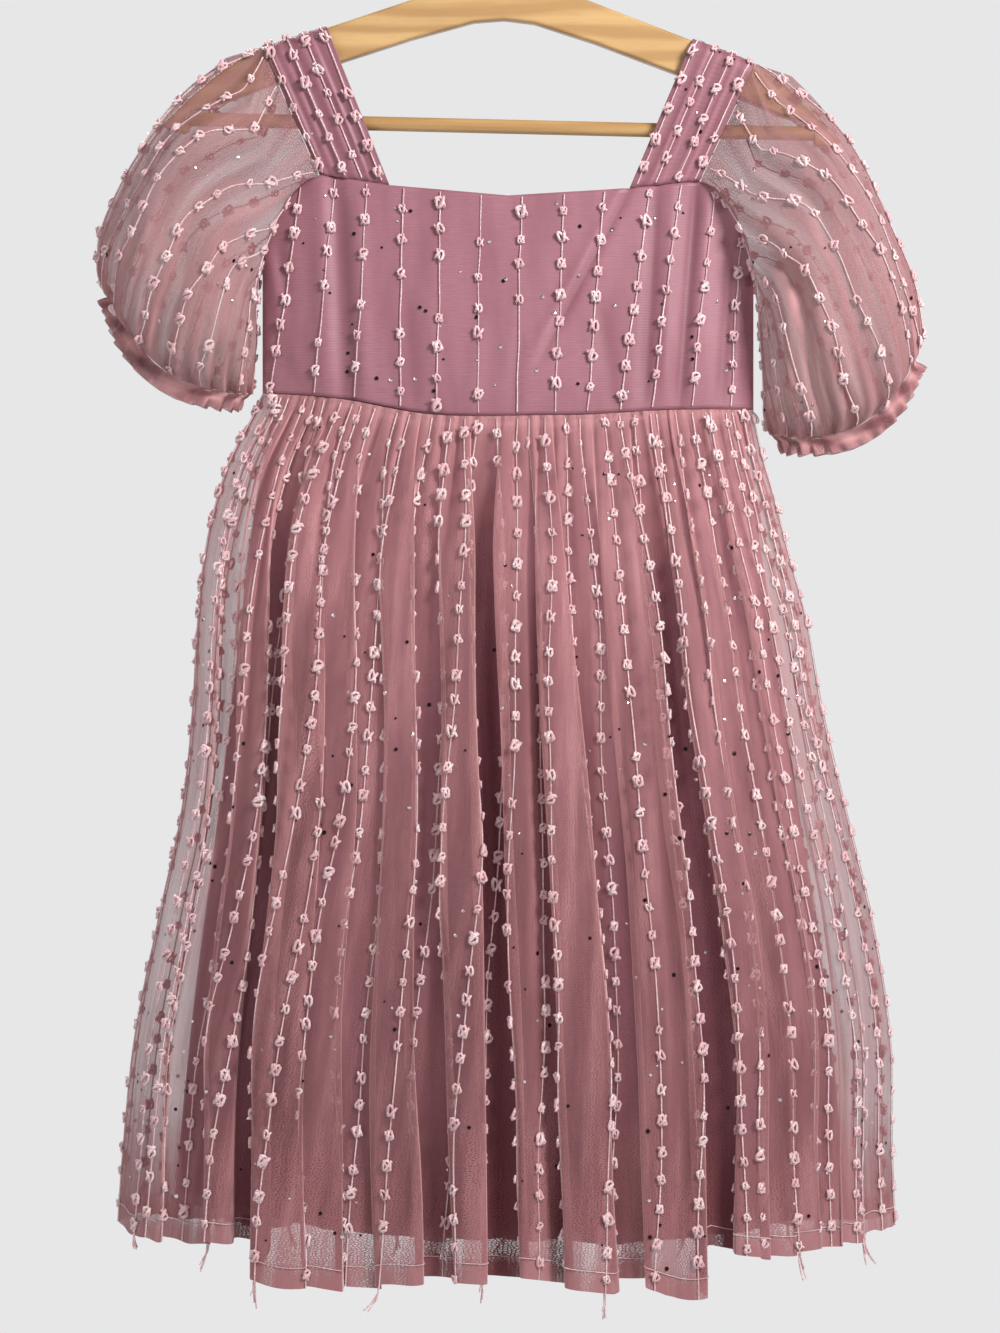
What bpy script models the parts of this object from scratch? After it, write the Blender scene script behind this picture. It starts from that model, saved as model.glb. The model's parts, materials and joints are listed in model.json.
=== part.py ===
# Girl's party dress hanging on a wooden hanger
# Metres, +Z up, front faces -Y, origin at the inside top of the hanger's hook

import math
import bpy
import bmesh
import numpy as np

# Driving dimensions of the dress
BODICE_HALF_WIDTH = 0.162
NECK_HALF_DEPTH = 0.0125
WAIST_HALF_DEPTH = 0.0260
BODICE_WALL = 0.0020
WAIST_ALLOWANCE = 0.0060
SKIRT_WALL = 0.0015
LINING_WALL = 0.0012
SLEEVE_WALL = 0.0012
STRAP_WALL = 0.0015
CUFF_WALL = 0.0020
CUFF_HEIGHT = 0.0095
SEAM_GAP = 0.0003
ARMHOLE_GAP = 0.0004

# Gathers: waves across a panel or round a tube, and mesh columns for each wave
SKIRT_GATHERS = 28
SLEEVE_GATHERS = 12
CUFF_GATHERS = 20
COLUMNS_PER_GATHER = 3
SKIRT_GATHER_HEIGHT = 0.0016
SLEEVE_GATHER_HEIGHT = 0.0011
CUFF_GATHER_HEIGHT = 0.0011

# Mesh rows and columns
SKIRT_ROWS = (0.0, 0.03, 0.08, 0.17, 0.31, 0.50, 0.74, 1.0)
LINING_ROWS = (0.0, 0.12, 0.32, 0.56, 0.80, 1.0)
SLEEVE_ROWS = (0.0, 0.12, 0.28, 0.44, 0.62, 0.80, 0.93, 1.0)
BODICE_COLUMNS = 36
BODICE_BANDS = 4
LINING_COLUMNS = 32
STRAP_BANDS_ACROSS = 5
STRAP_LEG_STEPS = 3
STRAP_ARCH_STEPS = 4

# Wooden hanger, hanging a little lower on its right
HANGER_TILT = math.radians(1.35)
ARM_HALF_THICKNESS = 0.0060
ARM_ROUNDING = 0.0050
ARM_HEEL_X = 0.206
BAR_RADIUS = 0.0047
BAR_HEIGHT = -0.176
HOOK_WIRE_RADIUS = 0.0019
HOOK_BEND_RADIUS = 0.022
HOOK_SHANK_TOP = -0.052
NECK_TOP = -0.076

# Centre back zip
ZIP_DROP = 0.010
SLIDER_WIDTH = 0.0052
SLIDER_HEIGHT = 0.0090
SLIDER_THICKNESS = 0.0020
BRIDGE_WIDTH = 0.0016
BRIDGE_REACH = 0.0034
BRIDGE_BAR = 0.0009
BRIDGE_HOLE = 0.0022
PIVOT_ABOVE_FOOT = 0.0026
PULL_LENGTH = 0.0170
PULL_WIDTH = 0.0056
PULL_THICKNESS = 0.0012
PULL_WINDOW_WIDTH = 0.0026
PULL_WINDOW_HEIGHT = 0.0040
PULL_CROSSBAR = 0.0012

# Strap ends: x at the shoulder and at the neckline, inner and outer edge
STRAPS = {
    "left": {"side": -1, "top": (0.120, 0.162), "bottom": (0.078, 0.124)},
    "right": {"side": 1, "top": (0.122, 0.163), "bottom": (0.080, 0.126)},
}
ARCH_HALF_DEPTH = 0.0110
ARCH_RISE = 0.0085
STRAP_REST_GAP = 0.0006
STRAP_PLEATS = 2
STRAP_PLEAT_HEIGHT = 0.0008

# Top edge of the bodice: x across the panel, height
NECK_LINE = {
    "x": (-0.162, -0.156, -0.146, -0.134, -0.124, -0.078, 0.0, 0.080, 0.126, 0.136, 0.148, 0.157, 0.162),
    "z": (-0.264, -0.244, -0.225, -0.213, -0.209, -0.216, -0.223, -0.218, -0.213, -0.217, -0.230, -0.250, -0.271),
}

# Waist seam: x, height
WAIST_LINE = {
    "x": (-0.162, -0.108, -0.052, 0.034, 0.110, 0.162),
    "z": (-0.352, -0.357, -0.367, -0.368, -0.364, -0.363),
}

# Outer skirt sections: height, half width to the left and right, half depth
SKIRT_SECTIONS = {
    "z": (-0.352, -0.362, -0.375, -0.396, -0.420, -0.455, -0.500, -0.560, -0.620, -0.700, -0.780, -0.850, -0.930),
    "left": (0.162, 0.166, 0.173, 0.184, 0.192, 0.200, 0.205, 0.208, 0.214, 0.231, 0.247, 0.254, 0.260),
    "right": (0.162, 0.162, 0.164, 0.169, 0.176, 0.185, 0.197, 0.208, 0.222, 0.241, 0.253, 0.254, 0.257),
    "depth": (0.026, 0.027, 0.030, 0.034, 0.038, 0.043, 0.049, 0.056, 0.062, 0.069, 0.074, 0.077, 0.080),
}

# Lining skirt sections
LINING_SECTIONS = {
    "z": (-0.352, -0.370, -0.420, -0.500, -0.620, -0.760, -0.905),
    "left": (0.1570, 0.1575, 0.166, 0.176, 0.190, 0.208, 0.222),
    "right": (0.1570, 0.1570, 0.162, 0.174, 0.191, 0.211, 0.226),
    "depth": (0.0212, 0.0216, 0.0245, 0.029, 0.036, 0.043, 0.048),
}

# Hem heights across the front, back and lining
FRONT_HEM = {
    "x": (-0.260, -0.232, -0.166, -0.156, -0.120, -0.060, 0.0, 0.036, 0.060, 0.084, 0.102, 0.125, 0.135, 0.150,
          0.190, 0.232, 0.257),
    "z": (-0.897, -0.905, -0.904, -0.925, -0.931, -0.926, -0.922, -0.925, -0.931, -0.924, -0.934, -0.934, -0.906,
          -0.910, -0.911, -0.905, -0.897),
}
BACK_HEM = {
    "x": (-0.260, -0.180, -0.120, -0.050, 0.020, 0.090, 0.150, 0.200, 0.257),
    "z": (-0.897, -0.908, -0.915, -0.922, -0.917, -0.923, -0.914, -0.908, -0.897),
}
LINING_HEM = {
    "x": (-0.222, -0.150, 0.0, 0.130, 0.226),
    "z": (-0.884, -0.892, -0.904, -0.902, -0.888),
}

# Largest folds: place at waist and hem across the panel (-1 to 1), half width,
# height (plus stands out), and how far down it starts (0 to 1)
FRONT_FOLDS = {
    "waist": (-0.93, -0.78, -0.69, -0.52, -0.40, -0.27, -0.13, -0.02, 0.15, 0.27, 0.43, 0.54, 0.66, 0.78, 0.90),
    "hem": (-0.88, -0.70, -0.60, -0.47, -0.36, -0.24, -0.12, 0.00, 0.12, 0.22, 0.43, 0.53, 0.64, 0.76, 0.88),
    "width": (0.05, 0.05, 0.05, 0.06, 0.05, 0.06, 0.04, 0.05, 0.05, 0.05, 0.06, 0.04, 0.06, 0.05, 0.05),
    "height": (0.006, -0.011, 0.016, 0.008, -0.010, 0.012, -0.012, 0.012, -0.011, 0.010, 0.016, -0.013, 0.009,
               -0.009, 0.006),
    "start": (0.15, 0.02, 0.02, 0.20, 0.10, 0.10, 0.03, 0.05, 0.05, 0.10, 0.10, 0.02, 0.15, 0.10, 0.20),
}
BACK_FOLDS = {
    "waist": (-0.88, -0.72, -0.55, -0.38, -0.24, -0.08, 0.07, 0.22, 0.36, 0.53, 0.68, 0.86),
    "hem": (-0.84, -0.70, -0.52, -0.36, -0.21, -0.07, 0.08, 0.20, 0.36, 0.50, 0.67, 0.83),
    "width": (0.06, 0.05, 0.07, 0.05, 0.06, 0.05, 0.07, 0.05, 0.06, 0.05, 0.07, 0.06),
    "height": (0.008, -0.010, 0.013, -0.011, 0.014, -0.012, 0.012, -0.010, 0.013, -0.011, 0.013, 0.007),
    "start": (0.12, 0.06, 0.10, 0.03, 0.08, 0.03, 0.12, 0.05, 0.08, 0.04, 0.10, 0.15),
}
LINING_FOLDS = {
    "waist": (-0.62, -0.25, 0.10, 0.48, 0.80),
    "hem": (-0.58, -0.22, 0.12, 0.46, 0.76),
    "width": (0.13, 0.11, 0.13, 0.12, 0.10),
    "height": (0.004, -0.004, 0.004, -0.004, 0.003),
    "start": (0.15, 0.10, 0.20, 0.12, 0.20),
}

# Sleeve rings from armhole to cuff: way along, top line, under line, half depth,
# and how far the front and back of the ring bow away from its middle
SLEEVES = {
    "left": {
        "way": (0.12, 0.30, 0.45, 0.65, 0.82, 0.94, 1.00),
        "top_x": (-0.186, -0.214, -0.235, -0.258, -0.270, -0.268, -0.2605),
        "top_z": (-0.131, -0.154, -0.179, -0.221, -0.257, -0.278, -0.2835),
        "under_x": (-0.1655, -0.166, -0.1665, -0.167, -0.168, -0.169, -0.1695),
        "under_z": (-0.274, -0.288, -0.302, -0.322, -0.338, -0.348, -0.352),
        "depth": (0.026, 0.040, 0.046, 0.047, 0.038, 0.025, 0.015),
        "bow_x": (0.018, 0.004, -0.002, -0.004, -0.008, -0.012, -0.013),
        "bow_z": (-0.010, -0.004, 0.000, -0.004, -0.012, -0.017, -0.018),
    },
    "right": {
        "way": (0.12, 0.30, 0.45, 0.65, 0.82, 0.94, 1.00),
        "top_x": (0.187, 0.210, 0.227, 0.251, 0.268, 0.272, 0.267),
        "top_z": (-0.144, -0.167, -0.191, -0.237, -0.284, -0.318, -0.326),
        "under_x": (0.1655, 0.166, 0.167, 0.168, 0.170, 0.173, 0.174),
        "under_z": (-0.282, -0.300, -0.318, -0.344, -0.364, -0.376, -0.379),
        "depth": (0.026, 0.040, 0.046, 0.048, 0.039, 0.026, 0.015),
        "bow_x": (-0.018, -0.004, 0.002, 0.005, 0.008, 0.012, 0.012),
        "bow_z": (-0.010, -0.004, 0.000, -0.004, -0.012, -0.017, -0.020),
    },
}

# Hanger arm outline on one side: top edge and lower edge
ARM_TOP = {
    "x": (0.0, 0.010, 0.060, 0.117, 0.160, 0.175, 0.190, 0.205, 0.217, 0.224),
    "z": (-0.076, -0.076, -0.094, -0.1145, -0.130, -0.137, -0.148, -0.1615, -0.1735, -0.181),
}
ARM_BOTTOM = {
    "x": (0.218, 0.206, 0.206, 0.185, 0.160, 0.117, 0.060, 0.020, 0.0),
    "z": (-0.1845, -0.1845, -0.1706, -0.1655, -0.1555, -0.140, -0.120, -0.108, -0.106),
}

COLOURS = {
    "overlay": {"color": (0.60, 0.33, 0.36, 1.0), "roughness": 0.75, "metallic": 0.0},
    "satin": {"color": (0.47, 0.22, 0.26, 1.0), "roughness": 0.55, "metallic": 0.0},
    "sheer": {"color": (0.62, 0.38, 0.40, 1.0), "roughness": 0.80, "metallic": 0.0},
    "elastic": {"color": (0.45, 0.17, 0.19, 1.0), "roughness": 0.80, "metallic": 0.0},
    "wood": {"color": (0.60, 0.36, 0.16, 1.0), "roughness": 0.45, "metallic": 0.0},
    "steel": {"color": (0.72, 0.72, 0.72, 1.0), "roughness": 0.25, "metallic": 1.0},
    "zip": {"color": (0.52, 0.28, 0.31, 1.0), "roughness": 0.40, "metallic": 0.0},
}


def clear_scene():
    for old in list(bpy.data.objects):
        bpy.data.objects.remove(old, do_unlink=True)


def material(name):
    made = bpy.data.materials.get(name)
    if made is None:
        made = bpy.data.materials.new(name)
        made.use_nodes = True
        shader = made.node_tree.nodes["Principled BSDF"]
        shader.inputs["Base Color"].default_value = COLOURS[name]["color"]
        shader.inputs["Roughness"].default_value = COLOURS[name]["roughness"]
        shader.inputs["Metallic"].default_value = COLOURS[name]["metallic"]
    return made


def blend(a, b, t):
    return a + (b - a) * t


def ramp(t):
    t = min(max(t, 0.0), 1.0)
    return t * t * (3.0 - 2.0 * t)


def read_line(table, key, at, by="x"):
    return float(np.interp(at, table[by], table[key]))


def read_section(table, key, height):
    return float(np.interp(-height, [-z for z in table["z"]], table[key]))


def add_object(name, mesh, finish):
    mesh.materials.append(material(finish))
    mesh.shade_smooth()
    mesh.set_sharp_from_angle(angle=math.radians(50.0))
    made = bpy.data.objects.new(name, mesh)
    bpy.context.scene.collection.objects.link(made)
    return made


def closed_wall(name, outer, inner, finish, around=False):
    """Join two grids of points, outer and inner, into one closed wall."""
    rows = len(outer)
    columns = len(outer[0])
    points = [p for grid in (outer, inner) for row in grid for p in row]

    def index(side, row, column):
        return side * rows * columns + row * columns + column % columns

    faces = []
    spans = columns if around else columns - 1
    for side in (0, 1):
        for row in range(rows - 1):
            for column in range(spans):
                quad = [index(side, row, column), index(side, row, column + 1),
                        index(side, row + 1, column + 1), index(side, row + 1, column)]
                faces.append(quad if side == 0 else quad[::-1])
    for column in range(spans):
        faces.append([index(0, 0, column), index(1, 0, column),
                      index(1, 0, column + 1), index(0, 0, column + 1)])
        faces.append([index(0, rows - 1, column + 1), index(1, rows - 1, column + 1),
                      index(1, rows - 1, column), index(0, rows - 1, column)])
    if not around:
        for row in range(rows - 1):
            faces.append([index(0, row + 1, 0), index(1, row + 1, 0),
                          index(1, row, 0), index(0, row, 0)])
            faces.append([index(0, row, columns - 1), index(1, row, columns - 1),
                          index(1, row + 1, columns - 1), index(0, row + 1, columns - 1)])
    mesh = bpy.data.meshes.new(name)
    mesh.from_pydata(points, [], faces)
    work = bmesh.new()
    work.from_mesh(mesh)
    bmesh.ops.triangulate(work, faces=work.faces[:], quad_method="SHORT_EDGE")
    if work.calc_volume(signed=True) < 0.0:
        bmesh.ops.reverse_faces(work, faces=work.faces[:])
    work.to_mesh(mesh)
    work.free()
    return add_object(name, mesh, finish)


def section_angle(across):
    """Angle round a section for a place across the panel, -1 to 1."""
    evenness = 0.6
    return (1.0 - evenness) * 0.5 * math.pi * across + evenness * math.asin(across)


def panel_point(facing, across, half_width, half_depth, height, push=0.0):
    angle = section_angle(across)
    side_fade = 1.0 - across ** 8
    y = half_depth * math.cos(angle) + push * side_fade + 0.5 * SEAM_GAP
    return (half_width * math.sin(angle), facing * y, height)


# Bodice

def bodice_depth(height):
    return blend(NECK_HALF_DEPTH, WAIST_HALF_DEPTH, ramp((height + 0.215) / -0.150))


def neck_height(x):
    return read_line(NECK_LINE, "z", x)


def waist_height(x):
    return read_line(WAIST_LINE, "z", x)


def bodice_y(x, height, inset=0.0):
    """Distance of the bodice's surface from the middle plane."""
    angle = math.asin(max(-1.0, min(1.0, x / BODICE_HALF_WIDTH)))
    return (bodice_depth(height) - inset) * math.cos(angle) + 0.5 * SEAM_GAP


def make_bodice(name, facing):
    outer = []
    inner = []
    for band in range(BODICE_BANDS + 1):
        down = band / BODICE_BANDS
        wall = blend(BODICE_WALL, WAIST_ALLOWANCE, ramp((down - 0.7) / 0.3))
        outer_row = []
        inner_row = []
        for column in range(BODICE_COLUMNS + 1):
            across = -1.0 + 2.0 * column / BODICE_COLUMNS
            x = BODICE_HALF_WIDTH * math.sin(section_angle(across))
            height = blend(neck_height(x), waist_height(x), down)
            depth = bodice_depth(height)
            outer_row.append(panel_point(facing, across, BODICE_HALF_WIDTH, depth, height))
            inner_row.append(panel_point(facing, across, BODICE_HALF_WIDTH - wall, depth - wall, height))
        outer.append(outer_row)
        inner.append(inner_row)
    return closed_wall(name, outer, inner, "satin")


# Skirt and lining

def fold_push(folds, across, down):
    push = 0.0
    for row in range(len(folds["waist"])):
        middle = blend(folds["waist"][row], folds["hem"][row], down)
        grown = ramp((down - folds["start"][row]) / 0.45)
        push += folds["height"][row] * grown * math.exp(-((across - middle) / folds["width"][row]) ** 2)
    return push


def gather_push(across, down):
    fade = (1.0 - ramp(down / 0.42)) * 0.85 + 0.15 * (1.0 - down)
    phase = math.pi * SKIRT_GATHERS * (across + 1.0)
    return SKIRT_GATHER_HEIGHT * fade * math.cos(phase)


def make_skirt_panel(name, facing, sections, hem, folds, rows, columns, wall, finish, gathered):
    outer = []
    inner = []
    for down in rows:
        outer_row = []
        inner_row = []
        for column in range(columns + 1):
            across = -1.0 + 2.0 * column / columns
            sine = math.sin(section_angle(across))
            waist = waist_height(BODICE_HALF_WIDTH * sine) - SEAM_GAP
            side = "left" if sine < 0 else "right"
            bottom = read_line(hem, "z", sections[side][-1] * sine)
            height = blend(waist, bottom, down)
            half_width = read_section(sections, side, height)
            half_depth = read_section(sections, "depth", height)
            push = fold_push(folds, across, down)
            if gathered:
                push += gather_push(across, down)
            outer_row.append(panel_point(facing, across, half_width, half_depth, height, push))
            inner_row.append(panel_point(facing, across, half_width - wall, half_depth - wall, height, push))
        outer.append(outer_row)
        inner.append(inner_row)
    return closed_wall(name, outer, inner, finish)


def make_skirts():
    columns = SKIRT_GATHERS * COLUMNS_PER_GATHER
    for name, facing, hem, folds in (("skirt_front", -1, FRONT_HEM, FRONT_FOLDS),
                                     ("skirt_back", 1, BACK_HEM, BACK_FOLDS)):
        make_skirt_panel(name, facing, SKIRT_SECTIONS, hem, folds, SKIRT_ROWS, columns,
                         SKIRT_WALL, "overlay", True)
    for name, facing in (("lining_front", -1), ("lining_back", 1)):
        make_skirt_panel(name, facing, LINING_SECTIONS, LINING_HEM, LINING_FOLDS, LINING_ROWS,
                         LINING_COLUMNS, LINING_WALL, "satin", False)


# Straps

def tilt(x, z):
    """Place a point of the level hanger where the tilted hanger has it."""
    cosine = math.cos(HANGER_TILT)
    sine = math.sin(HANGER_TILT)
    return (x * cosine + z * sine, z * cosine - x * sine)


def arm_top(x):
    """Height of the tilted arm's top edge at a world x."""
    level_x = x
    for _ in range(3):
        level_z = read_line(ARM_TOP, "z", abs(level_x))
        level_x += x - tilt(level_x, level_z)[0]
    return tilt(level_x, level_z)[1]


def strap_point(strap, outward, along, inset=0.0):
    """A point of a strap: outward 0 to 1 across it, along -1 front seam, 0 top, 1 back seam."""
    side = strap["side"]
    facing = -1.0 if along < 0 else 1.0
    steps = STRAP_LEG_STEPS + STRAP_ARCH_STEPS
    place = (1.0 - abs(along)) * steps
    top_x = side * blend(strap["top"][0], strap["top"][1], outward)
    bottom_x = side * blend(strap["bottom"][0], strap["bottom"][1], outward)
    top_z = arm_top(top_x) + STRAP_REST_GAP + STRAP_WALL
    bottom_z = neck_height(bottom_x) + SEAM_GAP
    pleat = STRAP_PLEAT_HEIGHT * 0.5 * (1.0 - math.cos(2.0 * math.pi * STRAP_PLEATS * outward))
    arch_foot = top_z - ARCH_RISE
    bottom_y = bodice_y(bottom_x, bottom_z, inset)
    if place <= STRAP_LEG_STEPS:
        rise = place / STRAP_LEG_STEPS
        z = blend(bottom_z, arch_foot, rise)
        y = blend(bottom_y, ARCH_HALF_DEPTH - inset, rise) + pleat * math.sin(math.pi * rise)
        raised = z - bottom_z
    else:
        turn = 0.5 * math.pi * (place - STRAP_LEG_STEPS) / STRAP_ARCH_STEPS
        z = arch_foot + (ARCH_RISE - inset) * math.sin(turn)
        y = (ARCH_HALF_DEPTH - inset) * math.cos(turn)
        raised = arch_foot + ARCH_RISE * math.sin(turn) - bottom_z
    x = blend(bottom_x, top_x, raised / (top_z - bottom_z))
    return (x, facing * y, z)


def make_strap(which):
    strap = STRAPS[which]
    steps = STRAP_LEG_STEPS + STRAP_ARCH_STEPS
    outer = []
    inner = []
    for step in range(-steps, steps + 1):
        along = step / steps
        outer.append([strap_point(strap, band / STRAP_BANDS_ACROSS, along)
                      for band in range(STRAP_BANDS_ACROSS + 1)])
        inner.append([strap_point(strap, band / STRAP_BANDS_ACROSS, along, STRAP_WALL)
                      for band in range(STRAP_BANDS_ACROSS + 1)])
    return closed_wall("strap_" + which, outer, inner, "satin")


# Sleeves and cuffs

def armhole_point(which, angle, inset=0.0):
    """The seam round the armhole: 0 at the shoulder, pi under the arm."""
    strap = STRAPS[which]
    side = strap["side"]
    facing = -1.0 if math.sin(angle) > 0 else 1.0
    turn = angle if angle <= math.pi else 2.0 * math.pi - angle
    strap_share = 0.55 * math.pi
    if turn <= strap_share:
        x, y, z = strap_point(strap, 1.0, facing * turn / strap_share, inset)
    else:
        way = (turn - strap_share) / (math.pi - strap_share)
        x = side * blend(strap["bottom"][1], BODICE_HALF_WIDTH, math.sin(0.5 * math.pi * way))
        z = neck_height(x)
        y = facing * max(bodice_y(x, z, inset), 0.0)
    return (x + side * ARMHOLE_GAP, y, z)


def sleeve_value(rows, key, way):
    return float(np.interp(way, rows["way"], rows[key]))


def sleeve_ring_point(which, way, angle, inset=0.0, swell=0.0):
    rows = SLEEVES[which]
    top = (sleeve_value(rows, "top_x", way), sleeve_value(rows, "top_z", way))
    under = (sleeve_value(rows, "under_x", way), sleeve_value(rows, "under_z", way))
    half = (0.5 * (top[0] - under[0]), 0.5 * (top[1] - under[1]))
    length = math.hypot(half[0], half[1])
    shrink = (length - inset + swell) / length
    bow = math.sin(angle) ** 2
    x = 0.5 * (top[0] + under[0]) + half[0] * shrink * math.cos(angle)
    x += bow * sleeve_value(rows, "bow_x", way)
    z = 0.5 * (top[1] + under[1]) + half[1] * shrink * math.cos(angle)
    z += bow * sleeve_value(rows, "bow_z", way)
    y = -(sleeve_value(rows, "depth", way) - inset + swell) * math.sin(angle)
    return (x, y, z)


def sleeve_point(which, way, angle, inset=0.0):
    first = SLEEVES[which]["way"][0]
    near_cap = 1.0 - ramp(way / 0.35)
    near_cuff = ramp((way - 0.6) / 0.4)
    under_fade = 0.5 * (1.0 + math.cos(angle))
    swell = SLEEVE_GATHER_HEIGHT * max(near_cap * under_fade, near_cuff) * math.cos(SLEEVE_GATHERS * angle)
    ring = sleeve_ring_point(which, max(way, first), angle, inset, swell)
    if way >= first:
        return ring
    seam = armhole_point(which, angle, inset)
    return tuple(blend(seam[axis], ring[axis], way / first) for axis in range(3))


def make_sleeve(which):
    columns = SLEEVE_GATHERS * COLUMNS_PER_GATHER
    angles = [2.0 * math.pi * column / columns for column in range(columns)]
    outer = [[sleeve_point(which, way, angle) for angle in angles] for way in SLEEVE_ROWS]
    inner = [[sleeve_point(which, way, angle, SLEEVE_WALL) for angle in angles] for way in SLEEVE_ROWS]
    return closed_wall("sleeve_" + which, outer, inner, "sheer", around=True)


def cuff_point(which, down, angle, inset=0.0):
    rows = SLEEVES[which]
    side = STRAPS[which]["side"]
    run = (rows["under_x"][-1] - rows["top_x"][-1], rows["under_z"][-1] - rows["top_z"][-1])
    length = math.hypot(run[0], run[1])
    along = (run[1] / length * side, -run[0] / length * side)
    swell = CUFF_GATHER_HEIGHT * blend(0.3, 1.0, down) * math.cos(CUFF_GATHERS * angle)
    x, y, z = sleeve_ring_point(which, 1.0, angle, inset, swell)
    drop = SEAM_GAP + 0.0001 + CUFF_HEIGHT * down
    return (x - along[0] * drop, y, z - along[1] * drop)


def make_cuff(which):
    columns = CUFF_GATHERS * COLUMNS_PER_GATHER
    angles = [2.0 * math.pi * column / columns for column in range(columns)]
    outer = [[cuff_point(which, down, angle) for angle in angles] for down in (0.0, 1.0)]
    inner = [[cuff_point(which, down, angle, CUFF_WALL) for angle in angles] for down in (0.0, 1.0)]
    return closed_wall("cuff_" + which, outer, inner, "elastic", around=True)


# Hanger

def make_hanger_arms():
    right = list(zip(ARM_TOP["x"], ARM_TOP["z"])) + list(zip(ARM_BOTTOM["x"], ARM_BOTTOM["z"]))
    left = [(-x, z) for x, z in right if x > 0.0]
    outline = right + left[::-1]
    mesh = bpy.data.meshes.new("hanger_arms")
    work = bmesh.new()
    corners = [work.verts.new((x, -ARM_HALF_THICKNESS, z)) for x, z in outline]
    face = work.faces.new(corners)
    grown = bmesh.ops.extrude_face_region(work, geom=[face])
    moved = [item for item in grown["geom"] if isinstance(item, bmesh.types.BMVert)]
    bmesh.ops.translate(work, verts=moved, vec=(0.0, 2.0 * ARM_HALF_THICKNESS, 0.0))
    bmesh.ops.recalc_face_normals(work, faces=work.faces[:])
    work.normal_update()
    rims = [edge for edge in work.edges if abs(edge.verts[0].co.y - edge.verts[1].co.y) < 1e-6]
    bmesh.ops.bevel(work, geom=rims, offset=ARM_ROUNDING * 0.9, segments=3, profile=0.5,
                    affect="EDGES", clamp_overlap=True)
    bmesh.ops.triangulate(work, faces=work.faces[:])
    work.to_mesh(mesh)
    work.free()
    made = add_object("hanger_arms", mesh, "wood")
    made.rotation_euler = (0.0, HANGER_TILT, 0.0)
    return made


def make_hanger_bar():
    half_length = ARM_HEEL_X - SEAM_GAP
    mesh = bpy.data.meshes.new("hanger_bar")
    work = bmesh.new()
    bmesh.ops.create_cone(work, cap_ends=True, segments=16, radius1=BAR_RADIUS, radius2=BAR_RADIUS,
                          depth=2.0 * half_length)
    for vert in work.verts:
        x, y, z = vert.co
        vert.co = (z, y, -x + BAR_HEIGHT)
    bmesh.ops.recalc_face_normals(work, faces=work.faces[:])
    bmesh.ops.triangulate(work, faces=work.faces[:])
    work.to_mesh(mesh)
    work.free()
    made = add_object("hanger_bar", mesh, "wood")
    made.rotation_euler = (0.0, HANGER_TILT, 0.0)
    return made


def make_hanger_hook():
    middle = HOOK_WIRE_RADIUS - HOOK_BEND_RADIUS
    route = [(0.0, NECK_TOP + SEAM_GAP), (0.0, HOOK_SHANK_TOP - 0.008), (0.0008, HOOK_SHANK_TOP)]
    first, last, steps = -60.0, 208.0, 20
    for step in range(steps + 1):
        turn = math.radians(blend(first, last, step / steps))
        route.append((HOOK_BEND_RADIUS * math.cos(turn), middle + HOOK_BEND_RADIUS * math.sin(turn)))
    curve = bpy.data.curves.new("hanger_hook", "CURVE")
    curve.dimensions = "3D"
    curve.bevel_depth = HOOK_WIRE_RADIUS
    curve.bevel_resolution = 2
    curve.use_fill_caps = True
    spline = curve.splines.new("POLY")
    spline.points.add(len(route) - 1)
    for point, (x, z) in zip(spline.points, route):
        point.co = (x, 0.0, z, 1.0)
    curve.materials.append(material("steel"))
    made = bpy.data.objects.new("hanger_hook", curve)
    bpy.context.scene.collection.objects.link(made)
    made.rotation_euler = (0.0, HANGER_TILT, 0.0)
    return made


# Centre back zip

def extrude_profile(name, profile, axis, half, finish):
    """Extrude a closed outline, given in the plane across the axis, both ways along it."""
    mesh = bpy.data.meshes.new(name)
    work = bmesh.new()
    for outline in profile:
        first = []
        for a, b in outline:
            first.append(work.verts.new((-half, a, b) if axis == "X" else (a, -half, b)))
        for corner in range(len(first)):
            work.edges.new((first[corner], first[(corner + 1) % len(first)]))
    bmesh.ops.triangle_fill(work, use_beauty=True, edges=work.edges[:])
    grown = bmesh.ops.extrude_face_region(work, geom=work.faces[:])
    moved = [item for item in grown["geom"] if isinstance(item, bmesh.types.BMVert)]
    shift = (2.0 * half, 0.0, 0.0) if axis == "X" else (0.0, 2.0 * half, 0.0)
    bmesh.ops.translate(work, verts=moved, vec=shift)
    bmesh.ops.recalc_face_normals(work, faces=work.faces[:])
    bmesh.ops.triangulate(work, faces=work.faces[:])
    work.to_mesh(mesh)
    work.free()
    return add_object(name, mesh, finish)


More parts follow.
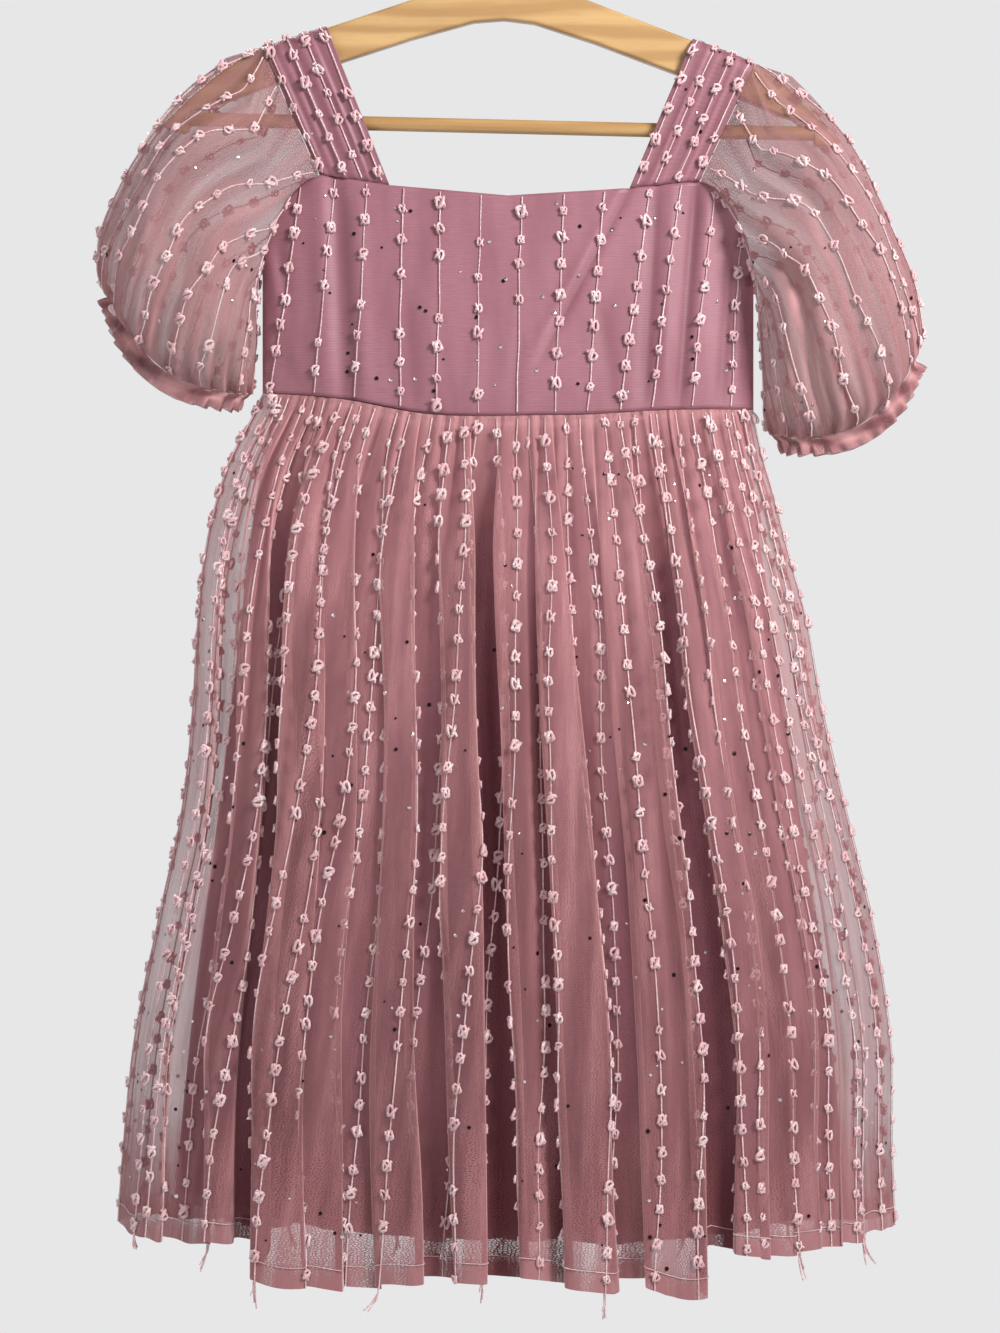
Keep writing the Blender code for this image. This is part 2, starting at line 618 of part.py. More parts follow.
def make_zip():
    top = neck_height(0.0) - ZIP_DROP
    foot = top - SLIDER_HEIGHT
    first = neck_height(0.0)
    band = (waist_height(0.0) - first) / BODICE_BANDS
    back = blend(bodice_depth(first), bodice_depth(first + band), (foot - first) / band) + 1.5 * SEAM_GAP
    face = back + SLIDER_THICKNESS
    crown = face + BRIDGE_REACH
    pivot = (0.0, face + 0.5 * (BRIDGE_REACH - BRIDGE_BAR), foot + PIVOT_ABOVE_FOOT)
    hole_low = pivot[2] - 0.5 * PULL_CROSSBAR - SEAM_GAP
    hole_high = hole_low + BRIDGE_HOLE
    plate = [(-0.35 * SLIDER_WIDTH, foot), (0.35 * SLIDER_WIDTH, foot),
             (0.5 * SLIDER_WIDTH, top - 0.3 * SLIDER_HEIGHT), (0.5 * SLIDER_WIDTH, top),
             (-0.5 * SLIDER_WIDTH, top), (-0.5 * SLIDER_WIDTH, top - 0.3 * SLIDER_HEIGHT)]
    slider = extrude_profile("zip_slider", [plate], "Y", 0.5 * SLIDER_THICKNESS, "zip")
    for vert in slider.data.vertices:
        vert.co.y += back + 0.5 * SLIDER_THICKNESS
    sunk = face - 0.5 * SLIDER_THICKNESS
    arch = [(sunk, hole_low - BRIDGE_BAR), (face, hole_low - BRIDGE_BAR), (crown, hole_low),
            (crown, hole_high), (face, hole_high + BRIDGE_BAR), (sunk, hole_high + BRIDGE_BAR),
            (sunk, hole_high), (crown - BRIDGE_BAR, hole_high),
            (crown - BRIDGE_BAR, hole_low), (sunk, hole_low)]
    bridge = extrude_profile("zip_bridge", [arch], "X", 0.5 * BRIDGE_WIDTH, "zip")
    bridge.hide_render = True
    bridge.display_type = "WIRE"
    joined = slider.modifiers.new("bridge", "BOOLEAN")
    joined.operation = "UNION"
    joined.object = bridge
    half = 0.5 * PULL_WIDTH
    inner = 0.5 * PULL_WINDOW_WIDTH
    head = 0.5 * PULL_CROSSBAR
    outline = [(-half * 0.72, head), (half * 0.72, head), (half, -PULL_LENGTH * 0.75),
               (half * 0.6, -PULL_LENGTH), (-half * 0.6, -PULL_LENGTH), (-half, -PULL_LENGTH * 0.75)]
    opening = [(-inner, -head), (inner, -head), (inner, -head - PULL_WINDOW_HEIGHT),
               (-inner, -head - PULL_WINDOW_HEIGHT)]
    pull = extrude_profile("zip_pull", [outline, opening], "Y", 0.5 * PULL_THICKNESS, "zip")
    pull.location = pivot
    return slider, pull


clear_scene()
make_hanger_arms()
make_hanger_bar()
make_hanger_hook()
make_bodice("bodice_front", -1)
make_bodice("bodice_back", 1)
for which in ("left", "right"):
    make_strap(which)
    make_sleeve(which)
    make_cuff(which)
make_skirts()
make_zip()
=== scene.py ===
# Girl's party dress hanging on a wooden hanger, seen from the front
# Metres, origin at the inside top of the hanger's hook, front faces -Y

import json
import math
import bpy
import bmesh
import numpy as np
from mathutils import Matrix, Vector

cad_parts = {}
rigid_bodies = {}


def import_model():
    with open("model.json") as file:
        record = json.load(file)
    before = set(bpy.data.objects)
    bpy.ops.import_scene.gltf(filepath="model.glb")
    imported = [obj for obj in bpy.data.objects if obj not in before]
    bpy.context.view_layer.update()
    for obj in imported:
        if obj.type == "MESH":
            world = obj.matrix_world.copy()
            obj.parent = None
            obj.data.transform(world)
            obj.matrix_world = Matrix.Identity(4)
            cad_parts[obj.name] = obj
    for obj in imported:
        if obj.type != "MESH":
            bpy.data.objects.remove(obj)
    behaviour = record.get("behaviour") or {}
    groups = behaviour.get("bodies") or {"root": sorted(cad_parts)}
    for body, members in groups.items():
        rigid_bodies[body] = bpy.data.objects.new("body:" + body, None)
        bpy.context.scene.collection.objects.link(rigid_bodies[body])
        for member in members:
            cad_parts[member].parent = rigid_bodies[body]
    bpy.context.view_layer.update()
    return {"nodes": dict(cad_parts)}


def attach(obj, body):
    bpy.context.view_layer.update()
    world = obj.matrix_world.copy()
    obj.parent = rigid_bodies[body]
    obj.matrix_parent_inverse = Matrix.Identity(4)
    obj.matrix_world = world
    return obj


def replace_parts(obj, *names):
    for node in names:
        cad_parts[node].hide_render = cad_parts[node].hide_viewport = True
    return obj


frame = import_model()
dressBody = "dress"
print("frame loaded:", len(frame["nodes"]), "nodes")


# Helpers for every piece

def smooth(t):
    t = np.clip(t, 0.0, 1.0)
    return t * t * (3.0 - 2.0 * t)


def mix(a, b, t):
    return a + (b - a) * t


# Smooth curve through the points of a table, level past its ends
def through(at, xs, ys):
    xs, ys = np.asarray(xs, float), np.asarray(ys, float)
    if xs[0] > xs[-1]:
        xs, ys = xs[::-1], ys[::-1]
    at = np.clip(np.asarray(at, float), xs[0], xs[-1])
    slope = np.gradient(ys, xs)
    step = np.diff(ys) / np.diff(xs)
    for i in range(1, len(xs) - 1):
        if step[i - 1] * step[i] <= 0.0:
            slope[i] = 0.0
    i = np.clip(np.searchsorted(xs, at, side="right") - 1, 0, len(xs) - 2)
    h = xs[i + 1] - xs[i]
    t = (at - xs[i]) / h
    return ((2 * t**3 - 3 * t**2 + 1) * ys[i] + (t**3 - 2 * t**2 + t) * h * slope[i]
            + (3 * t**2 - 2 * t**3) * ys[i + 1] + (t**3 - t**2) * h * slope[i + 1])


# Slow uneven wave between -1 and 1, the same for the same seed
def waver(at, seed, rate):
    return (np.sin(rate * at + 1.7 * seed) + 0.6 * np.sin(2.3 * rate * at + 0.9 * seed + 1.0)
            + 0.4 * np.sin(4.1 * rate * at + 2.9 * seed)) / 2.0


def linkObject(name, mesh, finish, body=dressBody):
    made = bpy.data.objects.new(name, mesh)
    bpy.context.scene.collection.objects.link(made)
    if finish is not None:
        mesh.materials.clear()
        mesh.materials.append(finish)
    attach(made, body)
    return made


# Quads over a grid of points (rows, columns, 3), with uv in metres of cloth
def sheetMesh(name, points, uv, marks=None, around=False):
    rows, columns = points.shape[:2]
    spans = columns if around else columns - 1
    row, column = np.meshgrid(np.arange(rows - 1), np.arange(spans), indexing="ij")
    nextColumn = (column + 1) % columns
    below = row + 1
    quads = np.stack([row * columns + column, row * columns + nextColumn,
                      below * columns + nextColumn, below * columns + column], axis=-1).reshape(-1, 4)
    mesh = bpy.data.meshes.new(name)
    mesh.from_pydata(points.reshape(-1, 3).tolist(), [], quads.tolist())
    layer = mesh.uv_layers.new(name="cloth")
    flat = uv.reshape(-1, 2)[quads.reshape(-1)]
    if around:
        last = (column.reshape(-1) == columns - 1)
        corner = flat.reshape(-1, 4, 2)
        wrap = corner[:, 0, 0] + (uv[0, 1, 0] - uv[0, 0, 0])
        corner[last, 1, 0] = wrap[last]
        corner[last, 2, 0] = wrap[last]
        flat = corner.reshape(-1, 2)
    layer.data.foreach_set("uv", flat.reshape(-1))
    for label, values in (marks or {}).items():
        attribute = mesh.attributes.new(label, "FLOAT", "POINT")
        attribute.data.foreach_set("value", np.ascontiguousarray(values, float).reshape(-1))
    mesh.shade_smooth()
    mesh.update()
    return mesh


# Columns from left to right and rows from top to bottom, as two arrays that broadcast
def gridAxes(across, down, columns, rows):
    return np.linspace(*across, columns + 1)[None, :], np.linspace(*down, rows + 1)[:, None]


# Uv in metres of cloth from places across and along it
def clothUv(across, along):
    return np.stack(np.broadcast_arrays(across, along), axis=-1)


# The same grids with their columns turned round, where the cloth would face inwards
def turned(turn, *grids):
    return tuple(grid[:, ::-1] if turn else grid for grid in grids)


# Unit normals of a grid of points, for comparing one shape of a cloth with another
def gridNormals(points):
    across = np.gradient(points, axis=1)
    down = np.gradient(points, axis=0)
    normal = np.cross(across, down)
    return normal / np.maximum(np.linalg.norm(normal, axis=2, keepdims=True), 1e-9)


def solidify(piece, thickness):
    wall = piece.modifiers.new("wall", "SOLIDIFY")
    wall.thickness = thickness
    wall.offset = -1.0
    wall.use_even_offset = False


def addNode(tree, kind, **sets):
    # A new node with its inputs, or else its properties, set by name
    node = tree.nodes.new(kind)
    for key, value in sets.items():
        if key in node.inputs:
            node.inputs[key].default_value = value
        else:
            setattr(node, key, value)
    return node


def socketOf(sockets, key):
    # A socket by its number, or the one in use of that name
    return sockets[key] if isinstance(key, int) else next(s for s in sockets if s.enabled and s.name == key)


def wire(tree, *links):
    # Each link names a node and its output, then a node and its input
    for source, output, target, label in links:
        tree.links.new(socketOf(source.outputs, output), socketOf(target.inputs, label))


# Materials: every colour below is linear, and every scale counts repeats in a metre

def shaded(colour, shade):
    return tuple(min(c * shade, 1.0) for c in colour)


# A material being built: short calls for adding and wiring nodes
class Nodes:
    def __init__(self, name):
        self.material = bpy.data.materials.new(name)
        self.material.use_nodes = True
        self.tree = self.material.node_tree
        self.shader = self.tree.nodes["Principled BSDF"]

    def add(self, kind, **sets):
        return addNode(self.tree, kind, **sets)

    def fill(self, socket, value):
        # Wire a socket to another one, or give it a number or a colour
        if isinstance(value, bpy.types.NodeSocket):
            self.tree.links.new(value, socket)
        elif isinstance(value, tuple):
            socket.default_value = (*value, 1.0)
        else:
            socket.default_value = value

    def surface(self, values):
        for key, value in values.items():
            self.fill(self.shader.inputs[key], value)

    def maths(self, operation, first, second):
        node = self.add("ShaderNodeMath", operation=operation)
        self.fill(node.inputs[0], first)
        self.fill(node.inputs[1], second)
        return node.outputs[0]

    def mapped(self, source, scale):
        mapping = self.add("ShaderNodeMapping", Scale=scale)
        self.fill(mapping.inputs["Vector"], source)
        return mapping.outputs["Vector"]

    def clothPlace(self, across=1.0, along=1.0):
        return self.mapped(self.add("ShaderNodeUVMap", uv_map="cloth").outputs["UV"], (across, along, 1.0))

    def objectPlace(self, scale=(1.0, 1.0, 1.0)):
        return self.mapped(self.add("ShaderNodeTexCoord").outputs["Object"], scale)

    def mark(self, label):
        return self.add("ShaderNodeAttribute", attribute_name=label).outputs["Fac"]

    def texture(self, kind, place, output="Fac", **sets):
        node = self.add("ShaderNodeTex" + kind, **sets)
        self.fill(node.inputs["Vector"], place)
        return node.outputs[output]

    def span(self, source, low, high, fromLow=0.0, fromHigh=1.0):
        node = self.add("ShaderNodeMapRange", **{"From Min": fromLow, "From Max": fromHigh, "To Min": low,
                                                 "To Max": high})
        self.fill(node.inputs["Value"], source)
        return node.outputs["Result"]

    def blend(self, factor, first, second):
        node = self.add("ShaderNodeMix", data_type="RGBA", blend_type="MIX")
        for index, value in ((0, factor), (6, first), (7, second)):
            self.fill(node.inputs[index], value)
        return node.outputs[2]

    def lowness(self, most, top=-0.46, bottom=-0.94):
        # 0 above the hips, up to most at the hem
        split = self.add("ShaderNodeSeparateXYZ")
        self.fill(split.inputs["Vector"], self.objectPlace())
        return self.span(split.outputs["Z"], 0.0, most, top, bottom)

    def bump(self, height, strength, distance=0.0002):
        node = self.add("ShaderNodeBump", Strength=strength, Distance=distance)
        self.fill(node.inputs["Height"], height)
        self.fill(self.shader.inputs["Normal"], node.outputs["Normal"])


# Satin: the valley colour is painted shade, laid in valleys and, more and more, towards the hem
satinLook = {
    "light": (0.474, 0.198, 0.246), "deep": (0.362, 0.134, 0.172), "valley": (0.110, 0.017, 0.028),
    "valleyShare": 0.92, "hemPaintedShade": 0.56, "slubs": (90.0, 1100.0), "clouds": (42.0, 11.0),
    "threads": 1100.0, "bump": 0.22,
    "surface": {"Roughness": 0.54, "Sheen Weight": 0.12, "Sheen Roughness": 0.4,
                "Sheen Tint": (1.0, 0.82, 0.85)},
}
# Net: the valley colour is painted shade, in valleys and towards the hem; the edge colour is a painted
# highlight along fold edges
netLook = {
    "colour": (0.480, 0.204, 0.216), "foldColour": (0.740, 0.366, 0.372), "edgeHighlight": (0.930, 0.600, 0.600),
    "valleyColour": (0.140, 0.024, 0.033), "edgeShare": 0.62, "valleyShare": 0.90, "hemPaintedShade": 0.52,
    "hemCover": 1.05, "edgeCover": 0.92, "cells": 850.0, "clouds": (110.0, 7.0), "bump": 0.3,
    "surface": {"Roughness": 0.75, "Sheen Weight": 0.18, "Sheen Roughness": 0.5,
                "Sheen Tint": (1.0, 0.84, 0.84)},
}
yarnLook = {
    "light": (1.00, 0.82, 0.82), "deep": (0.70, 0.34, 0.37), "fibres": 900.0, "patches": 70.0, "bump": 0.5,
    "surface": {"Roughness": 0.55, "Sheen Weight": 0.6},
}
sequinLook = {"dark": (0.020, 0.006, 0.010), "bright": (0.92, 0.80, 0.82), "roughness": 0.18, "tones": 400.0}
woodLook = {
    "light": (0.66, 0.41, 0.17), "deep": (0.42, 0.22, 0.075), "rings": 130.0, "warp": (6.0, 40.0, 40.0),
    "pores": (60.0, 1500.0, 1500.0), "ringStretch": (0.12, 1.0, 1.0), "bump": 0.15,
    "surface": {"Coat Weight": 0.5, "Coat Roughness": 0.15},
}
metalLook = {"scratches": (300.0, 300.0, 2500.0), "bump": 0.05}


def satinMaterial(name, shade):
    # Satin with fine threads across it and faint slubs; painted shade darkens its valleys and grows towards
    # the hem
    look = satinLook
    m = Nodes(name)
    slubs = m.texture("Noise", m.clothPlace(*look["slubs"]), noise_dimensions="2D", Scale=1.0, Detail=3.0,
                      Roughness=0.6)
    clouds = m.texture("Noise", m.clothPlace(*look["clouds"]), noise_dimensions="2D", Scale=1.0, Detail=3.0)
    deep = shaded(look["deep"], shade)
    base = m.blend(m.span(slubs, 0.0, 0.55, 0.30, 0.70), shaded(look["light"], shade), deep)
    base = m.blend(m.span(clouds, 0.0, 0.85, 0.35, 0.68), base, deep)
    # Painted shade: the valley colour in the valleys, then more of it towards the hem
    base = m.blend(m.maths("MULTIPLY", m.mark("deep"), look["valleyShare"]), base, look["valley"])
    base = m.blend(m.lowness(look["hemPaintedShade"]), base, look["valley"])
    threads = m.texture("Wave", m.clothPlace(), bands_direction="Y", Scale=look["threads"] / (2.0 * math.pi),
                        Distortion=0.8, Detail=1.0)
    m.surface({"Base Color": base, **look["surface"]})
    m.bump(m.maths("ADD", threads, m.maths("MULTIPLY", slubs, 0.6)), look["bump"])
    return m.material


def netMaterial(name, cover, foldCover, shade=1.0):
    # Sheer net: small open cells, closer and paler where the cloth folds over, painted shade in valleys and
    # towards the hem, and a painted highlight along fold edges
    look = netLook
    m = Nodes(name)
    cells = m.texture("Voronoi", m.clothPlace(), "Distance", voronoi_dimensions="2D",
                      feature="DISTANCE_TO_EDGE", Scale=look["cells"])
    threads = m.span(cells, 1.0, 0.0, 0.02, 0.22)
    clouds = m.texture("Noise", m.clothPlace(*look["clouds"]), noise_dimensions="2D", Scale=1.0, Detail=3.0,
                       Roughness=0.6)
    folded, edge = m.mark("folded"), m.mark("edge")
    base = m.blend(m.maths("MAXIMUM", folded, m.span(clouds, 0.0, 0.5, 0.45, 0.75)),
                   shaded(look["colour"], shade), shaded(look["foldColour"], shade))
    # Painted shade in the valleys and towards the hem, then a painted highlight along fold edges
    base = m.blend(m.maths("MULTIPLY", m.mark("deep"), look["valleyShare"]), base, look["valleyColour"])
    base = m.blend(m.lowness(look["hemPaintedShade"]), base, look["valleyColour"])
    base = m.blend(m.maths("MULTIPLY", edge, look["edgeShare"]), base, look["edgeHighlight"])
    even = m.maths("MULTIPLY", m.span(clouds, 0.70, 1.35, 0.3, 0.7), m.span(folded, cover, foldCover))
    even = m.maths("MULTIPLY", even, m.maths("ADD", m.lowness(look["hemCover"], -0.82, -0.91), 1.0))
    closed = m.maths("MULTIPLY", even, m.span(threads, 0.72, 1.5))
    alpha = m.maths("MAXIMUM", closed, m.maths("MULTIPLY", edge, look["edgeCover"]))
    m.surface({"Base Color": base, "Alpha": alpha, **look["surface"]})
    m.bump(threads, look["bump"])
    return m.material


def yarnMaterial(name, shade=1.0):
    look = yarnLook
    m = Nodes(name)
    fibre = m.texture("Noise", m.objectPlace(), Scale=look["fibres"], Detail=3.0)
    patches = m.texture("Noise", m.objectPlace(), Scale=look["patches"], Detail=1.0)
    deep = shaded(look["deep"], shade)
    base = m.blend(m.span(fibre, 0.0, 1.0, 0.34, 0.62), deep, shaded(look["light"], shade))
    m.surface({"Base Color": m.blend(m.span(patches, 0.65, 0.0, 0.38, 0.60), base, deep), **look["surface"]})
    m.bump(fibre, look["bump"], 0.0003)
    return m.material


def sequinMaterial(name, colour, metallic):
    m = Nodes(name)
    tone = m.texture("Noise", m.objectPlace(), Scale=sequinLook["tones"])
    m.surface({"Base Color": m.blend(m.span(tone, 0.0, 1.0, 0.4, 0.6), shaded(colour, 0.6), colour),
               "Metallic": metallic, "Roughness": sequinLook["roughness"]})
    return m.material


def woodMaterial(name):
    # Varnished pale wood with its grain along X
    look = woodLook
    m = Nodes(name)
    warp = m.texture("Noise", m.objectPlace(look["warp"]), Scale=1.0, Detail=4.0)
    rings = m.texture("Wave", m.objectPlace(look["ringStretch"]), bands_direction="Z",
                      Scale=look["rings"] / (2.0 * math.pi), Distortion=5.0, Detail=3.0,
                      **{"Detail Scale": 2.0})
    pores = m.texture("Noise", m.objectPlace(look["pores"]), Scale=1.0, Detail=2.0)
    grain = m.blend(m.span(rings, 0.0, 0.75, 0.2, 0.9), look["light"], look["deep"])
    cloudy = m.blend(m.span(warp, 0.0, 0.5, 0.4, 0.7), grain, look["deep"])
    m.surface({"Base Color": m.blend(m.span(pores, 0.0, 0.4, 0.55, 0.75), cloudy, look["deep"]),
               "Roughness": m.span(warp, 0.30, 0.48), **look["surface"]})
    m.bump(pores, look["bump"])
    return m.material


def metalMaterial(name, colour, roughness, metallic=1.0):
    look = metalLook
    m = Nodes(name)
    scratch = m.texture("Noise", m.objectPlace(look["scratches"]), Scale=1.0, Detail=3.0)
    m.surface({"Base Color": m.blend(m.span(scratch, 0.0, 1.0, 0.4, 0.7), shaded(colour, 0.8), colour),
               "Roughness": m.span(scratch, 0.7 * roughness, 1.4 * roughness), "Metallic": metallic})
    m.bump(scratch, look["bump"], 0.0001)
    return m.material


def studioMaterial(name, colour):
    m = Nodes(name)
    tone = m.texture("Noise", m.objectPlace(), Scale=2.0, Detail=2.0)
    m.surface({"Base Color": m.blend(tone, shaded(colour, 0.985), colour), "Roughness": 0.95})
    return m.material


satin = satinMaterial("roseSatin", 0.79)
liningSatin = satinMaterial("liningSatin", 1.02)
skirtNet = netMaterial("skirtNet", 0.44, 0.90)
# Sleeve and cuff nets are darker copies of the net: partly their grey-brown look, partly painted shade
sleeveNet = netMaterial("sleeveNet", 0.50, 1.00, 0.72)
cuffNet = netMaterial("cuffNet", 0.80, 0.97, 0.84)
yarn = yarnMaterial("knotYarn")
stringYarn = yarnMaterial("stringYarn", 0.92)
threadYarn = yarnMaterial("stitchThread", 0.80)
darkSequin = sequinMaterial("darkSequin", sequinLook["dark"], 0.6)
brightSequin = sequinMaterial("brightSequin", sequinLook["bright"], 0.9)
wood = woodMaterial("varnishedWood")
steel = metalMaterial("hookSteel", (0.74, 0.74, 0.75), 0.16)
zipEnamel = metalMaterial("zipEnamel", (0.50, 0.25, 0.29), 0.30, 0.3)
print("materials made")


# Bodice: a flat panel front and back between the neckline and the waist seam

bodice = {
    "halfWidth": 0.162, "neckDepth": 0.0125, "waistDepth": 0.0262, "wall": 0.0016, "seamGap": 0.00015,
    "columns": 200, "rows": 50, "creasePaintedShade": 0.42, "creaseReach": 0.0020,
    "cut": (0.330, 0.160), "cutArea": 0.047,
    "neckX": (-0.162, -0.156, -0.146, -0.134, -0.124, -0.078, 0.0, 0.080, 0.126, 0.136, 0.148, 0.157, 0.162),
    "neckZ": (-0.264, -0.244, -0.225, -0.213, -0.209, -0.216, -0.223, -0.218, -0.213, -0.217, -0.230, -0.250,
              -0.271),
    "waistX": (-0.162, -0.108, -0.052, 0.034, 0.110, 0.162),
    "waistZ": (-0.352, -0.357, -0.367, -0.368, -0.364, -0.363),
}

# Soft creases of the bodice: start and end in x and z, half width, height
bodiceCreases = {
    "front": (
        (-0.112, -0.214, -0.104, -0.356, 0.0072, -0.0024), (-0.124, -0.222, -0.120, -0.350, 0.0070, 0.0022),
        (-0.101, -0.225, -0.094, -0.350, 0.0060, 0.0014), (-0.150, -0.260, -0.143, -0.335, 0.0060, -0.0016),
        (-0.157, -0.262, -0.140, -0.335, 0.0060, 0.0016), (0.080, -0.218, 0.026, -0.322, 0.0032, -0.0016),
        (0.074, -0.218, 0.019, -0.322, 0.0045, 0.0013), (0.124, -0.218, 0.113, -0.356, 0.0042, -0.0026),
        (0.132, -0.222, 0.121, -0.352, 0.0050, 0.0020), (0.098, -0.222, 0.090, -0.350, 0.0048, -0.0021),
        (0.108, -0.225, 0.102, -0.352, 0.0050, 0.0018), (0.147, -0.250, 0.140, -0.352, 0.0045, -0.0018),
        (0.154, -0.262, 0.150, -0.350, 0.0042, 0.0012), (0.062, -0.300, 0.070, -0.364, 0.0060, -0.0010),
        (-0.052, -0.300, -0.044, -0.366, 0.0060, 0.0010), (-0.066, -0.290, -0.060, -0.362, 0.0055, -0.0009),
        (0.008, -0.318, 0.004, -0.368, 0.0055, -0.0009), (-0.018, -0.306, -0.024, -0.368, 0.0060, 0.0008),
    ),
    "back": (
        (-0.130, -0.225, -0.112, -0.350, 0.0045, -0.0021), (-0.140, -0.240, -0.126, -0.345, 0.0060, 0.0018),
        (-0.152, -0.255, -0.146, -0.345, 0.0050, -0.0014), (0.126, -0.225, 0.108, -0.348, 0.0045, -0.0021),
        (0.138, -0.240, 0.120, -0.350, 0.0060, 0.0018), (0.151, -0.255, 0.146, -0.348, 0.0048, -0.0015),
        (-0.078, -0.226, -0.040, -0.318, 0.0034, -0.0014), (-0.060, -0.300, -0.064, -0.362, 0.0070, 0.0010),
        (0.090, -0.232, 0.082, -0.350, 0.0050, -0.0014), (0.070, -0.280, 0.064, -0.362, 0.0060, 0.0012),
        (0.036, -0.300, 0.030, -0.366, 0.0055, -0.0009),
    ),
}


def neckHeight(x):
    return np.interp(x, bodice["neckX"], bodice["neckZ"])


def waistHeight(x):
    return through(x, bodice["waistX"], bodice["waistZ"])


def bodiceDepth(z):
    return mix(bodice["neckDepth"], bodice["waistDepth"], smooth((z + 0.215) / -0.150))


def creasePush(creases, x, z):
    push = np.zeros(np.broadcast(x, z).shape)
    for x0, z0, x1, z1, width, height in creases:
        down = np.clip((z - z0) / (z1 - z0), -0.3, 1.3)
        middle = mix(x0, x1, down)
        fade = smooth((down + 0.25) / 0.4) * smooth((1.25 - down) / 0.4)
        push += height * fade * np.exp(-((x - middle) / width) ** 2)
    return push


# Point of the front or back bodice panel at x and z, lifted off its surface
def bodicePoint(side, x, z, lift=0.0):
    facing = -1.0 if side == "front" else 1.0
    share = np.clip(x / bodice["halfWidth"], -1.0, 1.0)
    bulge = np.sqrt(np.maximum(1.0 - share**2, 0.0))
    push = creasePush(bodiceCreases[side], x, z) * np.minimum(1.0, 3.0 * bulge)
    y = bodiceDepth(z) * bulge + push + lift + bodice["seamGap"]
    return np.stack(np.broadcast_arrays(x, facing * y, z), axis=-1)


def makeBodice(side):
    s, v = gridAxes((-1.0, 1.0), (0.0, 1.0), bodice["columns"], bodice["rows"])
    x = bodice["halfWidth"] * np.sin(s * math.pi / 2 * 0.5 + 0.5 * np.arcsin(s))
    z = mix(neckHeight(x), waistHeight(x), v)
    x = np.broadcast_to(x, z.shape)
    points = bodicePoint(side, x, z)
    uv = np.stack([x, z], axis=-1)
    # Painted shade in the valleys of the creases
    deep = bodice["creasePaintedShade"] * smooth(-creasePush(bodiceCreases[side], x, z) / bodice["creaseReach"])
    points, uv, deep = turned(side == "front", points, uv, deep)
    name = "bodice" + side.title()
    piece = linkObject(name, sheetMesh(name, points, uv, {"deep": deep}), satin)
    solidify(piece, bodice["wall"])
    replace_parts(piece, "bodice_" + side)


# Skirt: gathered net over a plainer lining

skirt = {
    "columns": 620, "rows": 78, "gathers": 46, "gatherHeight": 0.0026, "gatherLean": 0.0085,
    "creases": 60, "creaseWidth": (0.005, 0.013), "creaseHeight": (0.0010, 0.0030),
    "cut": (0.700, 0.580), "hemBand": 0.0135, "valleyReach": (0.0036, 0.012), "waistGap": 0.0003,
    "bandFade": 0.0006, "seamFade": 0.012, "seamFold": 0.5, "bandFold": 0.40, "foldMark": (0.22, 0.55),
    "z": (-0.352, -0.362, -0.375, -0.396, -0.420, -0.455, -0.500, -0.560, -0.620, -0.700, -0.780, -0.850,
          -0.930),
    "left": (0.162, 0.166, 0.173, 0.184, 0.192, 0.200, 0.205, 0.208, 0.214, 0.231, 0.247, 0.254, 0.260),
    "right": (0.162, 0.162, 0.164, 0.169, 0.176, 0.185, 0.197, 0.208, 0.222, 0.241, 0.253, 0.254, 0.257),
    "depth": (0.026, 0.027, 0.030, 0.034, 0.038, 0.043, 0.049, 0.056, 0.062, 0.069, 0.074, 0.077, 0.080),
}
skirtHem = {
    "front": {
        "x": (-0.260, -0.232, -0.166, -0.156, -0.120, -0.060, 0.0, 0.036, 0.060, 0.084, 0.102, 0.125, 0.135,
              0.150, 0.190, 0.232, 0.257),
        "z": (-0.897, -0.905, -0.904, -0.925, -0.931, -0.926, -0.922, -0.925, -0.931, -0.924, -0.934, -0.934,
              -0.906, -0.910, -0.911, -0.905, -0.897),
    },
    "back": {
        "x": (-0.260, -0.180, -0.120, -0.050, 0.020, 0.090, 0.150, 0.200, 0.257),
        "z": (-0.897, -0.908, -0.915, -0.922, -0.917, -0.923, -0.914, -0.908, -0.897),
    },
}

